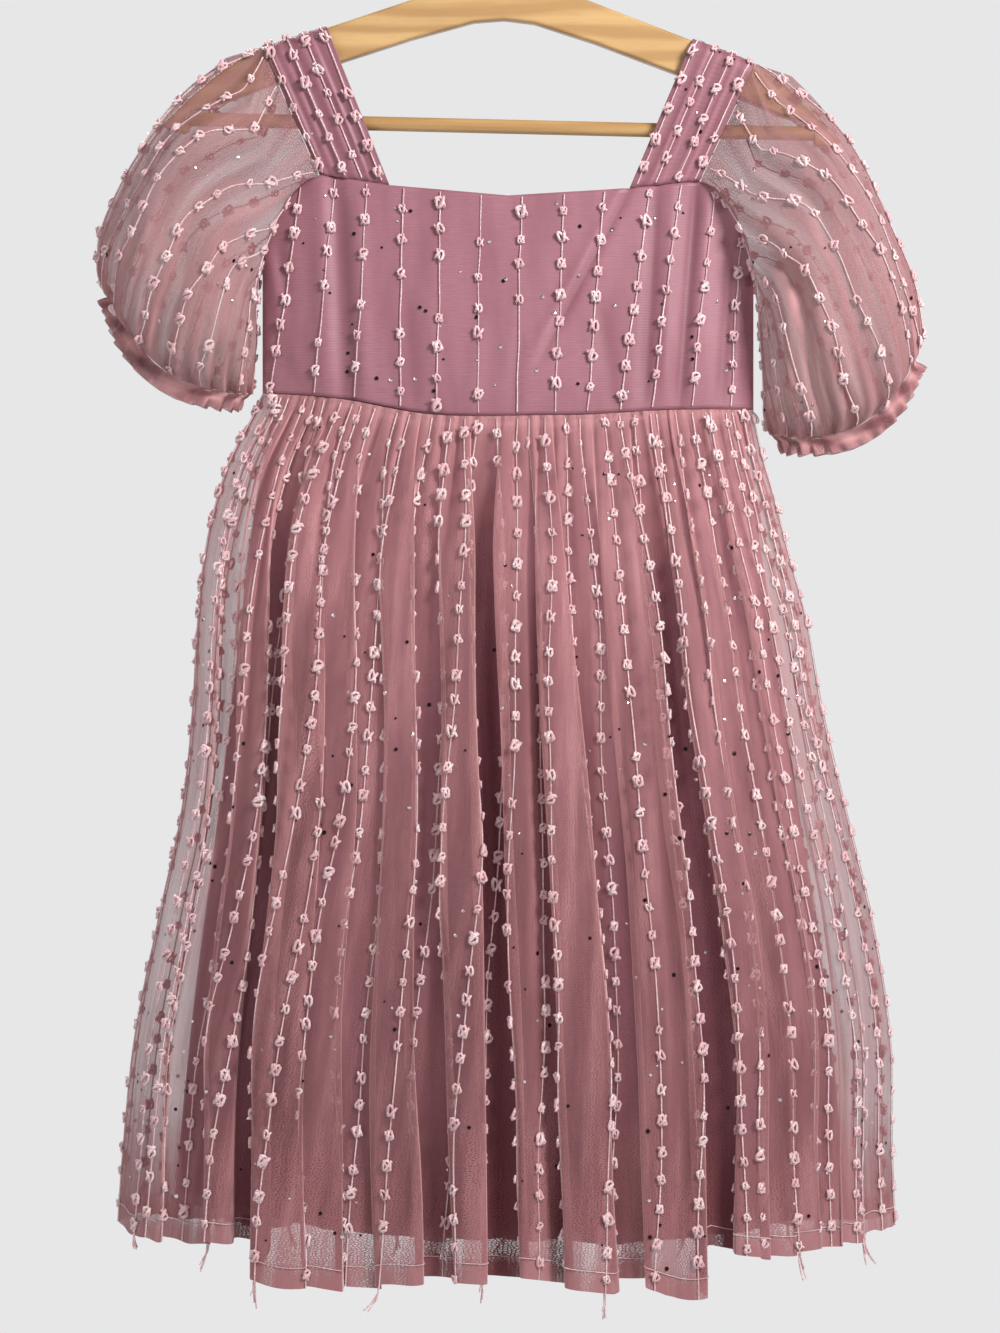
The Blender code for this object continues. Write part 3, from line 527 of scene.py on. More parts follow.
# Waves of the net: place at the waist and at the hem (-1 to 1 across the panel), half width,
# height, and where it starts (0 waist, 1 hem)
skirtWaves = {
    "front": (
        (-0.93, -0.88, 0.050, 0.005, 0.15), (-0.86, -0.73, 0.030, -0.004, 0.05),
        (-0.76, -0.64, 0.040, 0.005, 0.10), (-0.675, -0.570, 0.030, -0.011, 0.00),
        (-0.57, -0.46, 0.045, 0.010, 0.02), (-0.40, -0.32, 0.036, 0.004, 0.10),
        (-0.31, -0.21, 0.040, 0.006, 0.10), (-0.225, -0.130, 0.030, -0.005, 0.05),
        (-0.145, -0.075, 0.035, 0.008, 0.02), (-0.080, -0.008, 0.024, -0.011, 0.00),
        (0.000, 0.070, 0.030, 0.006, 0.05), (0.045, 0.095, 0.020, -0.008, 0.02),
        (0.120, 0.165, 0.035, 0.008, 0.04), (0.200, 0.215, 0.028, -0.006, 0.08),
        (0.320, 0.300, 0.040, 0.007, 0.10), (0.380, 0.375, 0.035, 0.009, 0.05),
        (0.452, 0.455, 0.028, -0.011, 0.00), (0.540, 0.530, 0.040, 0.008, 0.05),
        (0.610, 0.600, 0.028, -0.005, 0.10), (0.690, 0.665, 0.040, 0.007, 0.15),
        (0.765, 0.735, 0.028, -0.006, 0.10), (0.850, 0.810, 0.045, 0.005, 0.20),
        (0.920, 0.890, 0.040, -0.003, 0.20),
    ),
    "back": (
        (-0.90, -0.86, 0.050, 0.006, 0.12), (-0.79, -0.75, 0.035, -0.007, 0.06),
        (-0.69, -0.66, 0.045, 0.008, 0.10), (-0.58, -0.55, 0.032, -0.009, 0.02),
        (-0.47, -0.45, 0.050, 0.009, 0.08), (-0.37, -0.35, 0.030, -0.008, 0.03),
        (-0.27, -0.24, 0.045, 0.008, 0.12), (-0.18, -0.16, 0.028, -0.007, 0.06),
        (-0.08, -0.07, 0.045, 0.010, 0.08), (0.02, 0.02, 0.028, -0.010, 0.00),
        (0.12, 0.11, 0.045, 0.008, 0.05), (0.22, 0.21, 0.030, -0.006, 0.08), (0.32, 0.30, 0.045, 0.009, 0.08),
        (0.42, 0.41, 0.030, -0.010, 0.02), (0.53, 0.50, 0.050, 0.009, 0.04),
        (0.63, 0.61, 0.030, -0.007, 0.08), (0.73, 0.70, 0.045, 0.008, 0.10),
        (0.82, 0.80, 0.030, -0.006, 0.12), (0.91, 0.88, 0.045, 0.005, 0.15),
    ),
}

# Laps, where the net folds back over itself: place at the waist and at the hem, half width,
# depth between its layers, start, how far it laps (folds over above 1), and the side on top
skirtLaps = {
    "front": (
        (-0.900, -0.800, 0.030, 0.0025, 0.10, 1.9, -1.0), (-0.820, -0.670, 0.030, 0.0030, 0.02, 2.3, 1.0),
        (-0.720, -0.600, 0.026, 0.0030, 0.02, 2.2, -1.0), (-0.635, -0.520, 0.042, 0.0075, 0.00, 3.0, 1.0),
        (-0.520, -0.425, 0.026, 0.0030, 0.00, 2.3, 1.0), (-0.440, -0.345, 0.030, 0.0035, 0.00, 2.6, -1.0),
        (-0.350, -0.262, 0.026, 0.0030, 0.02, 2.2, 1.0), (-0.272, -0.180, 0.028, 0.0035, 0.00, 2.5, -1.0),
        (-0.190, -0.110, 0.025, 0.0030, 0.03, 2.3, 1.0), (-0.112, -0.045, 0.026, 0.0050, 0.00, 2.7, -1.0),
        (-0.040, 0.042, 0.028, 0.0050, 0.00, 2.8, 1.0), (0.078, 0.122, 0.026, 0.0045, 0.00, 2.6, 1.0),
        (0.155, 0.215, 0.026, 0.0035, 0.02, 2.4, -1.0), (0.255, 0.290, 0.026, 0.0030, 0.04, 2.3, 1.0),
        (0.395, 0.398, 0.034, 0.0060, 0.00, 3.0, -1.0), (0.482, 0.485, 0.026, 0.0035, 0.03, 2.3, 1.0),
        (0.560, 0.560, 0.032, 0.0045, 0.00, 2.8, 1.0), (0.640, 0.635, 0.026, 0.0030, 0.04, 2.2, -1.0),
        (0.715, 0.695, 0.028, 0.0035, 0.02, 2.4, 1.0), (0.792, 0.765, 0.026, 0.0030, 0.08, 2.1, -1.0),
        (0.880, 0.845, 0.030, 0.0028, 0.10, 2.0, 1.0),
    ),
    "back": (
        (-0.880, -0.840, 0.030, 0.0028, 0.12, 2.0, 1.0), (-0.790, -0.755, 0.028, 0.0030, 0.06, 2.3, -1.0),
        (-0.705, -0.670, 0.026, 0.0032, 0.02, 2.4, 1.0), (-0.610, -0.580, 0.034, 0.0055, 0.00, 2.9, -1.0),
        (-0.515, -0.490, 0.026, 0.0030, 0.05, 2.2, -1.0), (-0.430, -0.405, 0.030, 0.0040, 0.00, 2.6, 1.0),
        (-0.335, -0.315, 0.026, 0.0030, 0.03, 2.3, -1.0), (-0.245, -0.225, 0.032, 0.0050, 0.00, 2.8, 1.0),
        (-0.150, -0.140, 0.026, 0.0030, 0.04, 2.2, -1.0), (-0.060, -0.055, 0.028, 0.0045, 0.00, 2.6, 1.0),
        (0.040, 0.035, 0.030, 0.0050, 0.00, 2.7, -1.0), (0.130, 0.120, 0.026, 0.0030, 0.05, 2.2, 1.0),
        (0.225, 0.210, 0.030, 0.0040, 0.02, 2.5, -1.0), (0.320, 0.300, 0.026, 0.0030, 0.03, 2.3, 1.0),
        (0.420, 0.395, 0.036, 0.0060, 0.00, 2.9, 1.0), (0.520, 0.495, 0.026, 0.0030, 0.05, 2.2, -1.0),
        (0.605, 0.580, 0.030, 0.0040, 0.00, 2.6, 1.0), (0.700, 0.675, 0.026, 0.0032, 0.04, 2.3, -1.0),
        (0.790, 0.760, 0.028, 0.0030, 0.06, 2.2, 1.0), (0.880, 0.845, 0.030, 0.0028, 0.12, 2.0, -1.0),
    ),
}

lining = {
    "columns": 180, "rows": 50, "wall": 0.0007, "valleyReach": 0.008, "hemHalf": 0.224,
    "cut": (0.440, 0.550), "cutArea": 0.215, "weave": (0.430, 0.545),
    "z": (-0.352, -0.370, -0.420, -0.500, -0.620, -0.760, -0.905),
    "left": (0.1570, 0.1575, 0.166, 0.176, 0.190, 0.208, 0.222),
    "right": (0.1570, 0.1570, 0.162, 0.174, 0.191, 0.211, 0.226),
    "depth": (0.0212, 0.0216, 0.0245, 0.029, 0.036, 0.043, 0.048),
    "hemX": (-0.222, -0.150, 0.0, 0.130, 0.226),
    "hemZ": (-0.884, -0.892, -0.904, -0.902, -0.888),
}

# Lining folds: place at the waist and at the hem, half width, height and start
liningFolds = {
    "front": (
        (-0.88, -0.86, 0.060, 0.004, 0.15), (-0.70, -0.59, 0.040, -0.009, 0.03),
        (-0.56, -0.47, 0.060, 0.006, 0.10), (-0.40, -0.33, 0.045, 0.007, 0.05),
        (-0.26, -0.20, 0.050, 0.006, 0.12), (-0.085, -0.020, 0.028, -0.010, 0.02),
        (0.00, 0.05, 0.030, 0.005, 0.12), (0.065, 0.105, 0.022, -0.008, 0.03),
        (0.24, 0.23, 0.060, 0.006, 0.10), (0.34, 0.32, 0.026, -0.005, 0.15),
        (0.47, 0.47, 0.030, -0.010, 0.02), (0.60, 0.59, 0.045, 0.006, 0.15),
        (0.76, 0.74, 0.030, -0.006, 0.15), (0.86, 0.84, 0.040, 0.003, 0.20),
    ),
    "back": (
        (-0.80, -0.76, 0.060, 0.005, 0.12), (-0.62, -0.58, 0.035, -0.008, 0.06),
        (-0.42, -0.38, 0.060, 0.006, 0.12), (-0.22, -0.20, 0.030, -0.008, 0.05),
        (0.02, 0.02, 0.060, 0.006, 0.12), (0.20, 0.20, 0.030, -0.008, 0.05), (0.42, 0.40, 0.060, 0.006, 0.12),
        (0.62, 0.60, 0.035, -0.008, 0.05), (0.80, 0.78, 0.050, 0.005, 0.12),
    ),
}


def sectionAngle(s):
    return 0.4 * 0.5 * math.pi * s + 0.6 * np.arcsin(np.clip(s, -1.0, 1.0))


def waveShape(waves, s, v):
    push = np.zeros(np.broadcast(s, v).shape)
    for atWaist, atHem, width, height, start in waves:
        middle = mix(atWaist, atHem, v) + 0.006 * waver(v, 10.0 * atWaist, 5.0)
        grown = smooth((v - start) / 0.40) * (0.86 + 0.14 * waver(v, 7.0 * atHem, 6.0))
        push = push + height * grown * np.exp(-((s - middle) / width) ** 2)
    return push


def lapShape(laps, s, v):
    # How far the laps move the cloth outward, in metres, and across, in s
    push = np.zeros(np.broadcast(s, v).shape)
    across = np.zeros(push.shape)
    for atWaist, atHem, width, depth, start, lap, top in laps:
        middle = mix(atWaist, atHem, v) + 0.008 * waver(v, 12.0 * atWaist + 1.0, 4.0)
        grown = smooth((v - start + 0.04) / 0.22) * (0.84 + 0.16 * waver(v, 9.0 * atHem, 5.0))
        q = (s - middle) / width
        across = across - lap * grown * width * q * np.exp(-q * q)
        push = push + 1.6 * depth * grown * top * q * np.exp(-q * q / 1.5)
    return push, across


def gatherShape(s, v, seed):
    # Fine gathers from the waist, uneven in spacing, height and length, each leaning over a little
    phase = math.pi * skirt["gathers"] * (s + 1.0) + 1.5 * waver(s, seed, 6.0) + 0.5 * waver(v, seed, 4.0)
    height = 0.62 + 0.38 * waver(s, seed + 3.0, 15.0)
    reach = 0.22 + 0.14 * waver(s, seed + 5.0, 19.0)
    fade = 0.76 * np.exp(-(v / reach) ** 2) + 0.24 * np.exp(-v / 0.60)
    start = 0.30 + 0.70 * smooth(v / 0.035)
    size = height * fade * start
    return skirt["gatherHeight"] * size * np.cos(phase), skirt["gatherLean"] * size * np.sin(phase)


def creaseShape(s, v, seed):
    # Small long creases between the main folds
    draw = np.random.default_rng(seed)
    push = np.zeros(np.broadcast(s, v).shape)
    for _ in range(skirt["creases"]):
        place = draw.uniform(-0.97, 0.97)
        drift = draw.uniform(-0.05, 0.05)
        width = draw.uniform(*skirt["creaseWidth"])
        height = draw.choice((-1.0, 1.0)) * draw.uniform(*skirt["creaseHeight"])
        first = draw.uniform(-0.1, 0.5)
        last = first + draw.uniform(0.35, 0.8)
        fade = smooth((v - first) / 0.12) * smooth((last - v) / 0.15)
        push = push + height * fade * np.exp(-((s - place - drift * v) / width) ** 2)
    return push


def sectionSizes(sizes, sine, bottom, v):
    # Height, half width and depth of the skirt or its lining, from the waist seam to its bottom edge
    z = mix(waistHeight(bodice["halfWidth"] * sine) - skirt["waistGap"], bottom, v)
    at = [-height for height in sizes["z"]]
    halfWidth = np.where(sine < 0, through(-z, at, sizes["left"]), through(-z, at, sizes["right"]))
    return z, halfWidth, through(-z, at, sizes["depth"])


def skirtPoint(side, s, v, plain=False):
    # Point of the net skirt: s across the cloth, -1 to 1, v from the waist seam to the hem
    facing = -1.0 if side == "front" else 1.0
    seed = 4 if side == "front" else 9
    s, v = np.broadcast_arrays(np.asarray(s, float), np.asarray(v, float))
    sideFade = 1.0 - np.abs(s) ** 10
    push, across = 0.0, 0.0
    if not plain:
        lapPush, across = lapShape(skirtLaps[side], s, v)
        gatherPush, gatherAcross = gatherShape(s, v, seed)
        push = waveShape(skirtWaves[side], s, v) + lapPush + gatherPush + creaseShape(s, v, seed)
        across = across + gatherAcross
    place = s + across * sideFade
    sine = np.sin(sectionAngle(place))
    cosine = np.cos(sectionAngle(place))
    hem = skirtHem[side]
    hemSine = np.sin(sectionAngle(s))
    hemX = np.where(hemSine < 0, skirt["left"][-1], skirt["right"][-1]) * hemSine
    ripple = 0.0018 * waver(s, seed, 30.0) + 0.0016 * waver(s, seed + 2.0, 13.0)
    bottom = np.interp(hemX, hem["x"], hem["z"]) + ripple - 0.035 * across * sideFade
    z, halfWidth, depth = sectionSizes(skirt, sine, bottom, v)
    y = depth * cosine + push * sideFade + bodice["seamGap"]
    return np.stack([halfWidth * sine, facing * y, z], axis=-1)


def liningPoint(side, s, v, plain=False):
    facing = -1.0 if side == "front" else 1.0
    s, v = np.broadcast_arrays(np.asarray(s, float), np.asarray(v, float))
    sine = np.sin(sectionAngle(s))
    bottom = through(lining["hemHalf"] * sine, lining["hemX"], lining["hemZ"]) + 0.0015 * waver(s, 5.0, 9.0)
    z, halfWidth, depth = sectionSizes(lining, sine, bottom, v)
    push = 0.0
    if not plain:
        push = waveShape(liningFolds[side], s, v) + 0.0008 * waver(s, 3.0, 40.0) * (1.0 - 0.5 * v)
    y = depth * np.cos(sectionAngle(s)) + push * (1.0 - np.abs(s) ** 8) + bodice["seamGap"]
    return np.stack([halfWidth * sine, facing * y, z], axis=-1)


def paintedShadeMark(points, plain, reach):
    # How far each point lies in a valley, which gets painted shade: 0 level or raised, 1 a valley as deep as
    # reach
    sunk = np.abs(plain[:, :, 1]) - np.abs(points[:, :, 1])
    return smooth(sunk / reach)


def turnedMark(points, plain, first, span):
    # How far folded cloth turns away from the same cloth without its folds
    away = 1.0 - np.abs(np.sum(gridNormals(points) * gridNormals(plain), axis=2))
    return smooth((away - first) / span)


def edgeMark(points, plain):
    # 1 where the cloth turns back on itself: the net is closer there, and a painted highlight makes the
    #                                         fold's edge pale
    ratio = np.gradient(points[:, :, 0], axis=1) / np.gradient(plain[:, :, 0], axis=1)
    return np.exp(-(ratio / 0.40) ** 2)


def makeSkirt(side):
    s, v = gridAxes((-1.0, 1.0), (0.0, 1.0), skirt["columns"], skirt["rows"])
    v = v ** 1.15  # rows closer together near the waist's gathers
    points = skirtPoint(side, s, v)
    plain = skirtPoint(side, s, v, plain=True)
    clothWidth, clothLength = skirt["cut"]
    uv = clothUv(0.5 * clothWidth * s, -clothLength * v)
    down = v * clothLength
    band = skirt["bandFold"] * smooth((down - (clothLength - skirt["hemBand"])) / skirt["bandFade"])
    seam = skirt["seamFold"] * np.exp(-down / skirt["seamFade"])
    folded = np.clip(np.maximum(turnedMark(points, plain, *skirt["foldMark"]), band) + seam, 0.0, 1.0)
    # Painted shade in the valleys of the folds and laps
    deep = paintedShadeMark(points, plain, mix(*skirt["valleyReach"], smooth(v / 0.16)))
    edge = edgeMark(points, plain)
    points, uv, folded, deep, edge = turned(side == "front", points, uv, folded, deep, edge)
    name = "skirt" + side.title()
    mesh = sheetMesh(name, points, uv, {"folded": folded, "deep": deep, "edge": edge})
    piece = linkObject(name, mesh, skirtNet)
    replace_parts(piece, "skirt_" + side)


def makeLining(side):
    s, v = gridAxes((-1.0, 1.0), (0.0, 1.0), lining["columns"], lining["rows"])
    points = liningPoint(side, s, v)
    # Painted shade in the valleys of the lining's folds
    deep = paintedShadeMark(points, liningPoint(side, s, v, plain=True), lining["valleyReach"])
    width, length = lining["weave"]
    points, uv, deep = turned(side == "front", points, clothUv(0.5 * width * s, -length * v), deep)
    name = "lining" + side.title()
    piece = linkObject(name, sheetMesh(name, points, uv, {"deep": deep}), liningSatin)
    solidify(piece, lining["wall"])
    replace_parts(piece, "lining_" + side)


# Hanger: wooden arms, trouser bar and wire hook, a little lower on its right

hanger = {
    "tilt": math.radians(1.35), "halfThickness": 0.0060, "rounding": 0.0019,
    "topX": (0.0, 0.010, 0.060, 0.117, 0.160, 0.175, 0.190, 0.205, 0.217, 0.224),
    "topZ": (-0.076, -0.076, -0.094, -0.1145, -0.130, -0.137, -0.148, -0.1615, -0.1735, -0.181),
    "lowX": (0.0, 0.020, 0.060, 0.117, 0.160, 0.185, 0.2055),
    "lowZ": (-0.106, -0.108, -0.120, -0.140, -0.1555, -0.1655, -0.1706),
    "heelX": 0.206, "heelEndX": 0.218, "heelZ": -0.1845, "barHeight": -0.176, "barRadius": 0.0047,
    "wireRadius": 0.0019, "bendRadius": 0.022, "bendTurn": (-60.0, 208.0), "shankTop": -0.052,
    "neckTop": -0.076, "jointGap": 0.0003,
}


def tilted(points):
    # The level hanger's points where the tilted hanger has them
    c, s = math.cos(hanger["tilt"]), math.sin(hanger["tilt"])
    return [(x * c + z * s, y, z * c - x * s) for x, y, z in points]


def armTop(x):
    # Height of the tilted arm's top edge at x
    c, s = math.cos(hanger["tilt"]), math.sin(hanger["tilt"])
    level = np.asarray(x, float)
    for _ in range(4):
        z = np.interp(np.abs(level), hanger["topX"], hanger["topZ"])
        level = level + x - (level * c + z * s)
    z = np.interp(np.abs(level), hanger["topX"], hanger["topZ"])
    return z * c - level * s


def makeHangerArms():
    right = list(zip(hanger["topX"], hanger["topZ"]))[1:]
    right += [(hanger["heelEndX"], hanger["heelZ"]), (hanger["heelX"], hanger["heelZ"])]
    right += list(zip(hanger["lowX"], hanger["lowZ"]))[::-1]
    outline = right + [(-x, z) for x, z in right[::-1] if x > 0.0]
    work = bmesh.new()
    face = work.faces.new([work.verts.new((x, -hanger["halfThickness"], z)) for x, z in outline])
    grown = bmesh.ops.extrude_face_region(work, geom=[face])
    moved = [item for item in grown["geom"] if isinstance(item, bmesh.types.BMVert)]
    bmesh.ops.translate(work, verts=moved, vec=(0.0, 2.0 * hanger["halfThickness"], 0.0))
    bmesh.ops.recalc_face_normals(work, faces=work.faces[:])
    rims = [edge for edge in work.edges if abs(edge.verts[0].co.y - edge.verts[1].co.y) < 1e-6]
    bmesh.ops.bevel(work, geom=rims, offset=hanger["rounding"], segments=5, profile=0.5,
                    affect="EDGES", clamp_overlap=True)
    flat = [face for face in work.faces if abs(face.normal.y) > 0.999]
    for face in work.faces:
        face.smooth = face not in flat
    for edge in {edge for face in flat for edge in face.edges}:
        edge.smooth = False
    bmesh.ops.triangulate(work, faces=work.faces[:])
    mesh = bpy.data.meshes.new("hangerArms")
    work.to_mesh(mesh)
    work.free()
    for vert, point in zip(mesh.vertices, tilted([v.co for v in mesh.vertices])):
        vert.co = point
    mesh.update()
    arms = linkObject("hangerArms", mesh, wood)
    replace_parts(arms, "hanger_arms")


def tubeMesh(name, route, radius, sides):
    # A round tube with flat ends through the points of a route
    route = np.asarray(route, float)
    heading = np.gradient(route, axis=0)
    heading /= np.linalg.norm(heading, axis=1, keepdims=True)
    side = np.cross(heading, (0.0, 1.0, 0.0))
    side /= np.linalg.norm(side, axis=1, keepdims=True)
    up = np.cross(side, heading)
    turn = np.linspace(0.0, 2.0 * math.pi, sides, endpoint=False)
    rings = (route[:, None] + radius * (side[:, None] * np.cos(turn)[None, :, None]
                                        + up[:, None] * np.sin(turn)[None, :, None]))
    verts = rings.reshape(-1, 3).tolist()
    count = len(route)
    faces = [(i * sides + j, i * sides + (j + 1) % sides,
              (i + 1) * sides + (j + 1) % sides, (i + 1) * sides + j)
             for i in range(count - 1) for j in range(sides)]
    faces += [tuple(range(sides))[::-1], tuple((count - 1) * sides + j for j in range(sides))]
    mesh = bpy.data.meshes.new(name)
    mesh.from_pydata(verts, [], faces)
    work = bmesh.new()
    work.from_mesh(mesh)
    bmesh.ops.recalc_face_normals(work, faces=work.faces[:])
    work.to_mesh(mesh)
    work.free()
    mesh.shade_smooth()
    mesh.set_sharp_from_angle(angle=math.radians(50.0))
    return mesh


def makeHangerBar():
    reach = hanger["heelX"] - hanger["jointGap"]
    route = [(x, 0.0, hanger["barHeight"]) for x in np.linspace(-reach, reach, 40)]
    mesh = tubeMesh("hangerBar", tilted(route), hanger["barRadius"], 24)
    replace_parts(linkObject("hangerBar", mesh, wood), "hanger_bar")


def makeHangerHook():
    middle = hanger["wireRadius"] - hanger["bendRadius"]
    route = [(0.0, 0.0, hanger["neckTop"] + hanger["jointGap"]), (0.0, 0.0, hanger["shankTop"] - 0.016),
             (0.0, 0.0, hanger["shankTop"] - 0.008), (0.0008, 0.0, hanger["shankTop"])]
    bend = hanger["bendRadius"]
    for turn in np.radians(np.linspace(*hanger["bendTurn"], 64)):
        route.append((bend * math.cos(turn), 0.0, middle + bend * math.sin(turn)))
    mesh = tubeMesh("hangerHook", tilted(route), hanger["wireRadius"], 16)
    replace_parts(linkObject("hangerHook", mesh, steel), "hanger_hook")


# Shoulder straps: pleated lengthwise, over the hanger from the front neckline to the back one

strapSizes = {
    "left": {"side": -1, "top": (0.120, 0.162), "bottom": (0.078, 0.124)},
    "right": {"side": 1, "top": (0.122, 0.163), "bottom": (0.080, 0.126)},
    "wall": 0.0013, "restGap": 0.0021, "archRise": 0.0085, "archHalfDepth": 0.0110,
    "legShare": 3.0 / 7.0, "columns": 60, "rows": 120, "cut": (0.056, 0.215), "pleatPaintedShade": 0.36,
    "pleatReach": 0.0008, "seamGap": 0.0003,
    # Place across the strap, half width and height
    "pleats": ((0.10, 0.045, 0.0007), (0.27, 0.035, 0.0013), (0.45, 0.050, 0.0009), (0.62, 0.030, 0.0015),
               (0.76, 0.045, 0.0008), (0.91, 0.040, 0.0011)),
}


def strapPleat(outward, along):
    pleat = 0.0
    for at, width, height in strapSizes["pleats"]:
        drift = at + 0.02 * waver(along, 9.0 * at, 2.5)
        pleat = pleat + height * np.exp(-((outward - drift) / width) ** 2)
    return pleat


def strapPoint(which, outward, along):
    # Outward 0 to 1 across the strap, along -1 front seam, 0 over the hanger, 1 back seam
    strap = strapSizes[which]
    outward, along = np.broadcast_arrays(np.asarray(outward, float), np.asarray(along, float))
    facing = np.where(along < 0, -1.0, 1.0)
    place = 1.0 - np.abs(along)
    topX = strap["side"] * mix(*strap["top"], outward)
    bottomX = strap["side"] * mix(*strap["bottom"], outward)
    topZ = armTop(topX) + strapSizes["restGap"]
    bottomZ = neckHeight(bottomX) + strapSizes["seamGap"]
    archFoot = topZ - strapSizes["archRise"]
    share = bottomX / bodice["halfWidth"]
    bottomY = bodiceDepth(bottomZ) * np.sqrt(1.0 - share**2) + bodice["seamGap"]
    pleat = strapPleat(outward, along)
    leg = strapSizes["legShare"]
    rise = np.clip(place / leg, 0.0, 1.0)
    turn = 0.5 * math.pi * np.clip((place - leg) / (1.0 - leg), 0.0, 1.0)
    onLeg = place <= leg
    raised = pleat * (0.35 + 0.65 * np.sin(math.pi * rise))
    z = np.where(onLeg, mix(bottomZ, archFoot, rise),
                 archFoot + (strapSizes["archRise"] + 0.35 * pleat) * np.sin(turn))
    y = np.where(onLeg, mix(bottomY, strapSizes["archHalfDepth"], rise) + raised,
                 (strapSizes["archHalfDepth"] + 0.35 * pleat) * np.cos(turn))
    up = np.clip((np.where(onLeg, z, archFoot + strapSizes["archRise"] * np.sin(turn)) - bottomZ)
                 / (topZ - bottomZ), 0.0, 1.0)
    return np.stack([mix(bottomX, topX, up), facing * y, z], axis=-1)


def makeStrap(which):
    outward, along = gridAxes((0.0, 1.0), (-1.0, 1.0), strapSizes["columns"], strapSizes["rows"])
    points = strapPoint(which, outward, along)
    width, length = strapSizes["cut"]
    # Painted shade between the pleats, where the strap is not raised
    raised = smooth(strapPleat(outward, along) / strapSizes["pleatReach"])
    deep = strapSizes["pleatPaintedShade"] * (1.0 - raised)
    points, uv, deep = turned(which == "left", points, clothUv(width * outward, 0.5 * length * along), deep)
    name = "strap" + which.title()
    strap = linkObject(name, sheetMesh(name, points, uv, {"deep": deep}), satin)
    solidify(strap, strapSizes["wall"])
    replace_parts(strap, "strap_" + which)


# Puff sleeves: sheer net from the armhole to the cuff, and the elastic cuff with its frill

sleeveSizes = {
    "left": {
        "way": (0.12, 0.30, 0.45, 0.65, 0.82, 0.94, 1.00),
        "topX": (-0.186, -0.214, -0.235, -0.258, -0.270, -0.268, -0.2605),
        "topZ": (-0.131, -0.154, -0.179, -0.221, -0.257, -0.278, -0.2835),
        "underX": (-0.1655, -0.166, -0.1665, -0.167, -0.168, -0.169, -0.1695),
        "underZ": (-0.274, -0.288, -0.302, -0.322, -0.338, -0.348, -0.352),
        "depth": (0.026, 0.040, 0.046, 0.047, 0.038, 0.025, 0.015),
        "bowX": (0.018, 0.004, -0.002, -0.004, -0.008, -0.012, -0.013),
        "bowZ": (-0.010, -0.004, 0.000, -0.004, -0.012, -0.017, -0.018),
    },
    "right": {
        "way": (0.12, 0.30, 0.45, 0.65, 0.82, 0.94, 1.00),
        "topX": (0.187, 0.210, 0.227, 0.251, 0.268, 0.272, 0.267),
        "topZ": (-0.144, -0.167, -0.191, -0.237, -0.284, -0.318, -0.326),
        "underX": (0.1655, 0.166, 0.167, 0.168, 0.170, 0.173, 0.174),
        "underZ": (-0.282, -0.300, -0.318, -0.344, -0.364, -0.376, -0.379),
        "depth": (0.026, 0.040, 0.046, 0.048, 0.039, 0.026, 0.015),
        "bowX": (-0.018, -0.004, 0.002, 0.005, 0.008, 0.012, 0.012),
        "bowZ": (-0.010, -0.004, 0.000, -0.004, -0.012, -0.017, -0.020),
    },
    "columns": 250, "rows": 74, "capGathers": 26, "cuffGathers": 34, "seamOut": 0.0006, "strapShare": 0.55,
    "foldMark": (0.01, 0.45), "cut": (0.330, 0.215), "cutArea": 0.062,
}
cuffSizes = {
    "height": 0.0125, "gap": 0.0004, "gathers": 31, "rows": 14, "columns": 320, "frill": (0.0009, 0.0034),
    "pinch": 0.0010, "cut": (0.260, 0.0130), "weave": (0.30, 0.0125),
}

# Long soft wrinkles of the sleeves: angle at the armhole and at the cuff, half width, height
sleeveCreases = {
    "left": (
        (0.9, 1.3, 0.16, 0.0050), (1.5, 1.6, 0.12, -0.0045), (1.9, 1.9, 0.14, 0.0050),
        (2.4, 2.2, 0.10, -0.0040), (0.5, 0.7, 0.12, -0.0040), (4.0, 4.3, 0.18, 0.0045),
        (4.7, 4.6, 0.12, -0.0040), (5.3, 5.0, 0.16, 0.0045),
    ),
    "right": (
        (0.8, 1.0, 0.14, 0.0045), (1.3, 1.5, 0.11, -0.0045), (1.7, 1.9, 0.13, 0.0050),
        (2.3, 2.3, 0.12, 0.0040), (2.1, 2.1, 0.07, -0.0040), (4.1, 4.4, 0.16, 0.0045),
        (4.9, 4.7, 0.12, -0.0040), (5.5, 5.3, 0.14, 0.0040),
    ),
}


def armholePoint(which, angle):
    # The seam round the armhole: 0 at the shoulder, pi under the arm
    side = strapSizes[which]["side"]
    facing = np.where(np.sin(angle) > 0, -1.0, 1.0)
    turn = np.where(angle <= math.pi, angle, 2.0 * math.pi - angle)
    strapShare = sleeveSizes["strapShare"] * math.pi
    onStrap = strapPoint(which, 1.0, facing * np.clip(turn / strapShare, 1e-6, 1.0))
    way = np.clip((turn - strapShare) / (math.pi - strapShare), 0.0, 1.0)
    x = side * mix(strapSizes[which]["bottom"][1], bodice["halfWidth"], np.sin(0.5 * math.pi * way))
    z = neckHeight(x)
    bulge = np.sqrt(np.maximum(1.0 - (x / bodice["halfWidth"]) ** 2, 0.0))
    y = facing * (bodiceDepth(z) * bulge + bodice["seamGap"])
    onBodice = np.stack([x, y, z], axis=-1)
    seam = np.where((turn <= strapShare)[..., None], onStrap, onBodice)
    seam[..., 0] += side * sleeveSizes["seamOut"]
    return seam


def sleeveRing(which, way, angle, swell):
    rows = sleeveSizes[which]
    value = {key: through(way, rows["way"], rows[key]) for key in rows if key != "way"}
    halfX = 0.5 * (value["topX"] - value["underX"])
    halfZ = 0.5 * (value["topZ"] - value["underZ"])
    length = np.hypot(halfX, halfZ)
    grow = (length + swell) / length
    bow = np.sin(angle) ** 2
    x = 0.5 * (value["topX"] + value["underX"]) + halfX * grow * np.cos(angle) + bow * value["bowX"]
    z = 0.5 * (value["topZ"] + value["underZ"]) + halfZ * grow * np.cos(angle) + bow * value["bowZ"]
    return np.stack([x, -(value["depth"] + swell) * np.sin(angle), z], axis=-1)


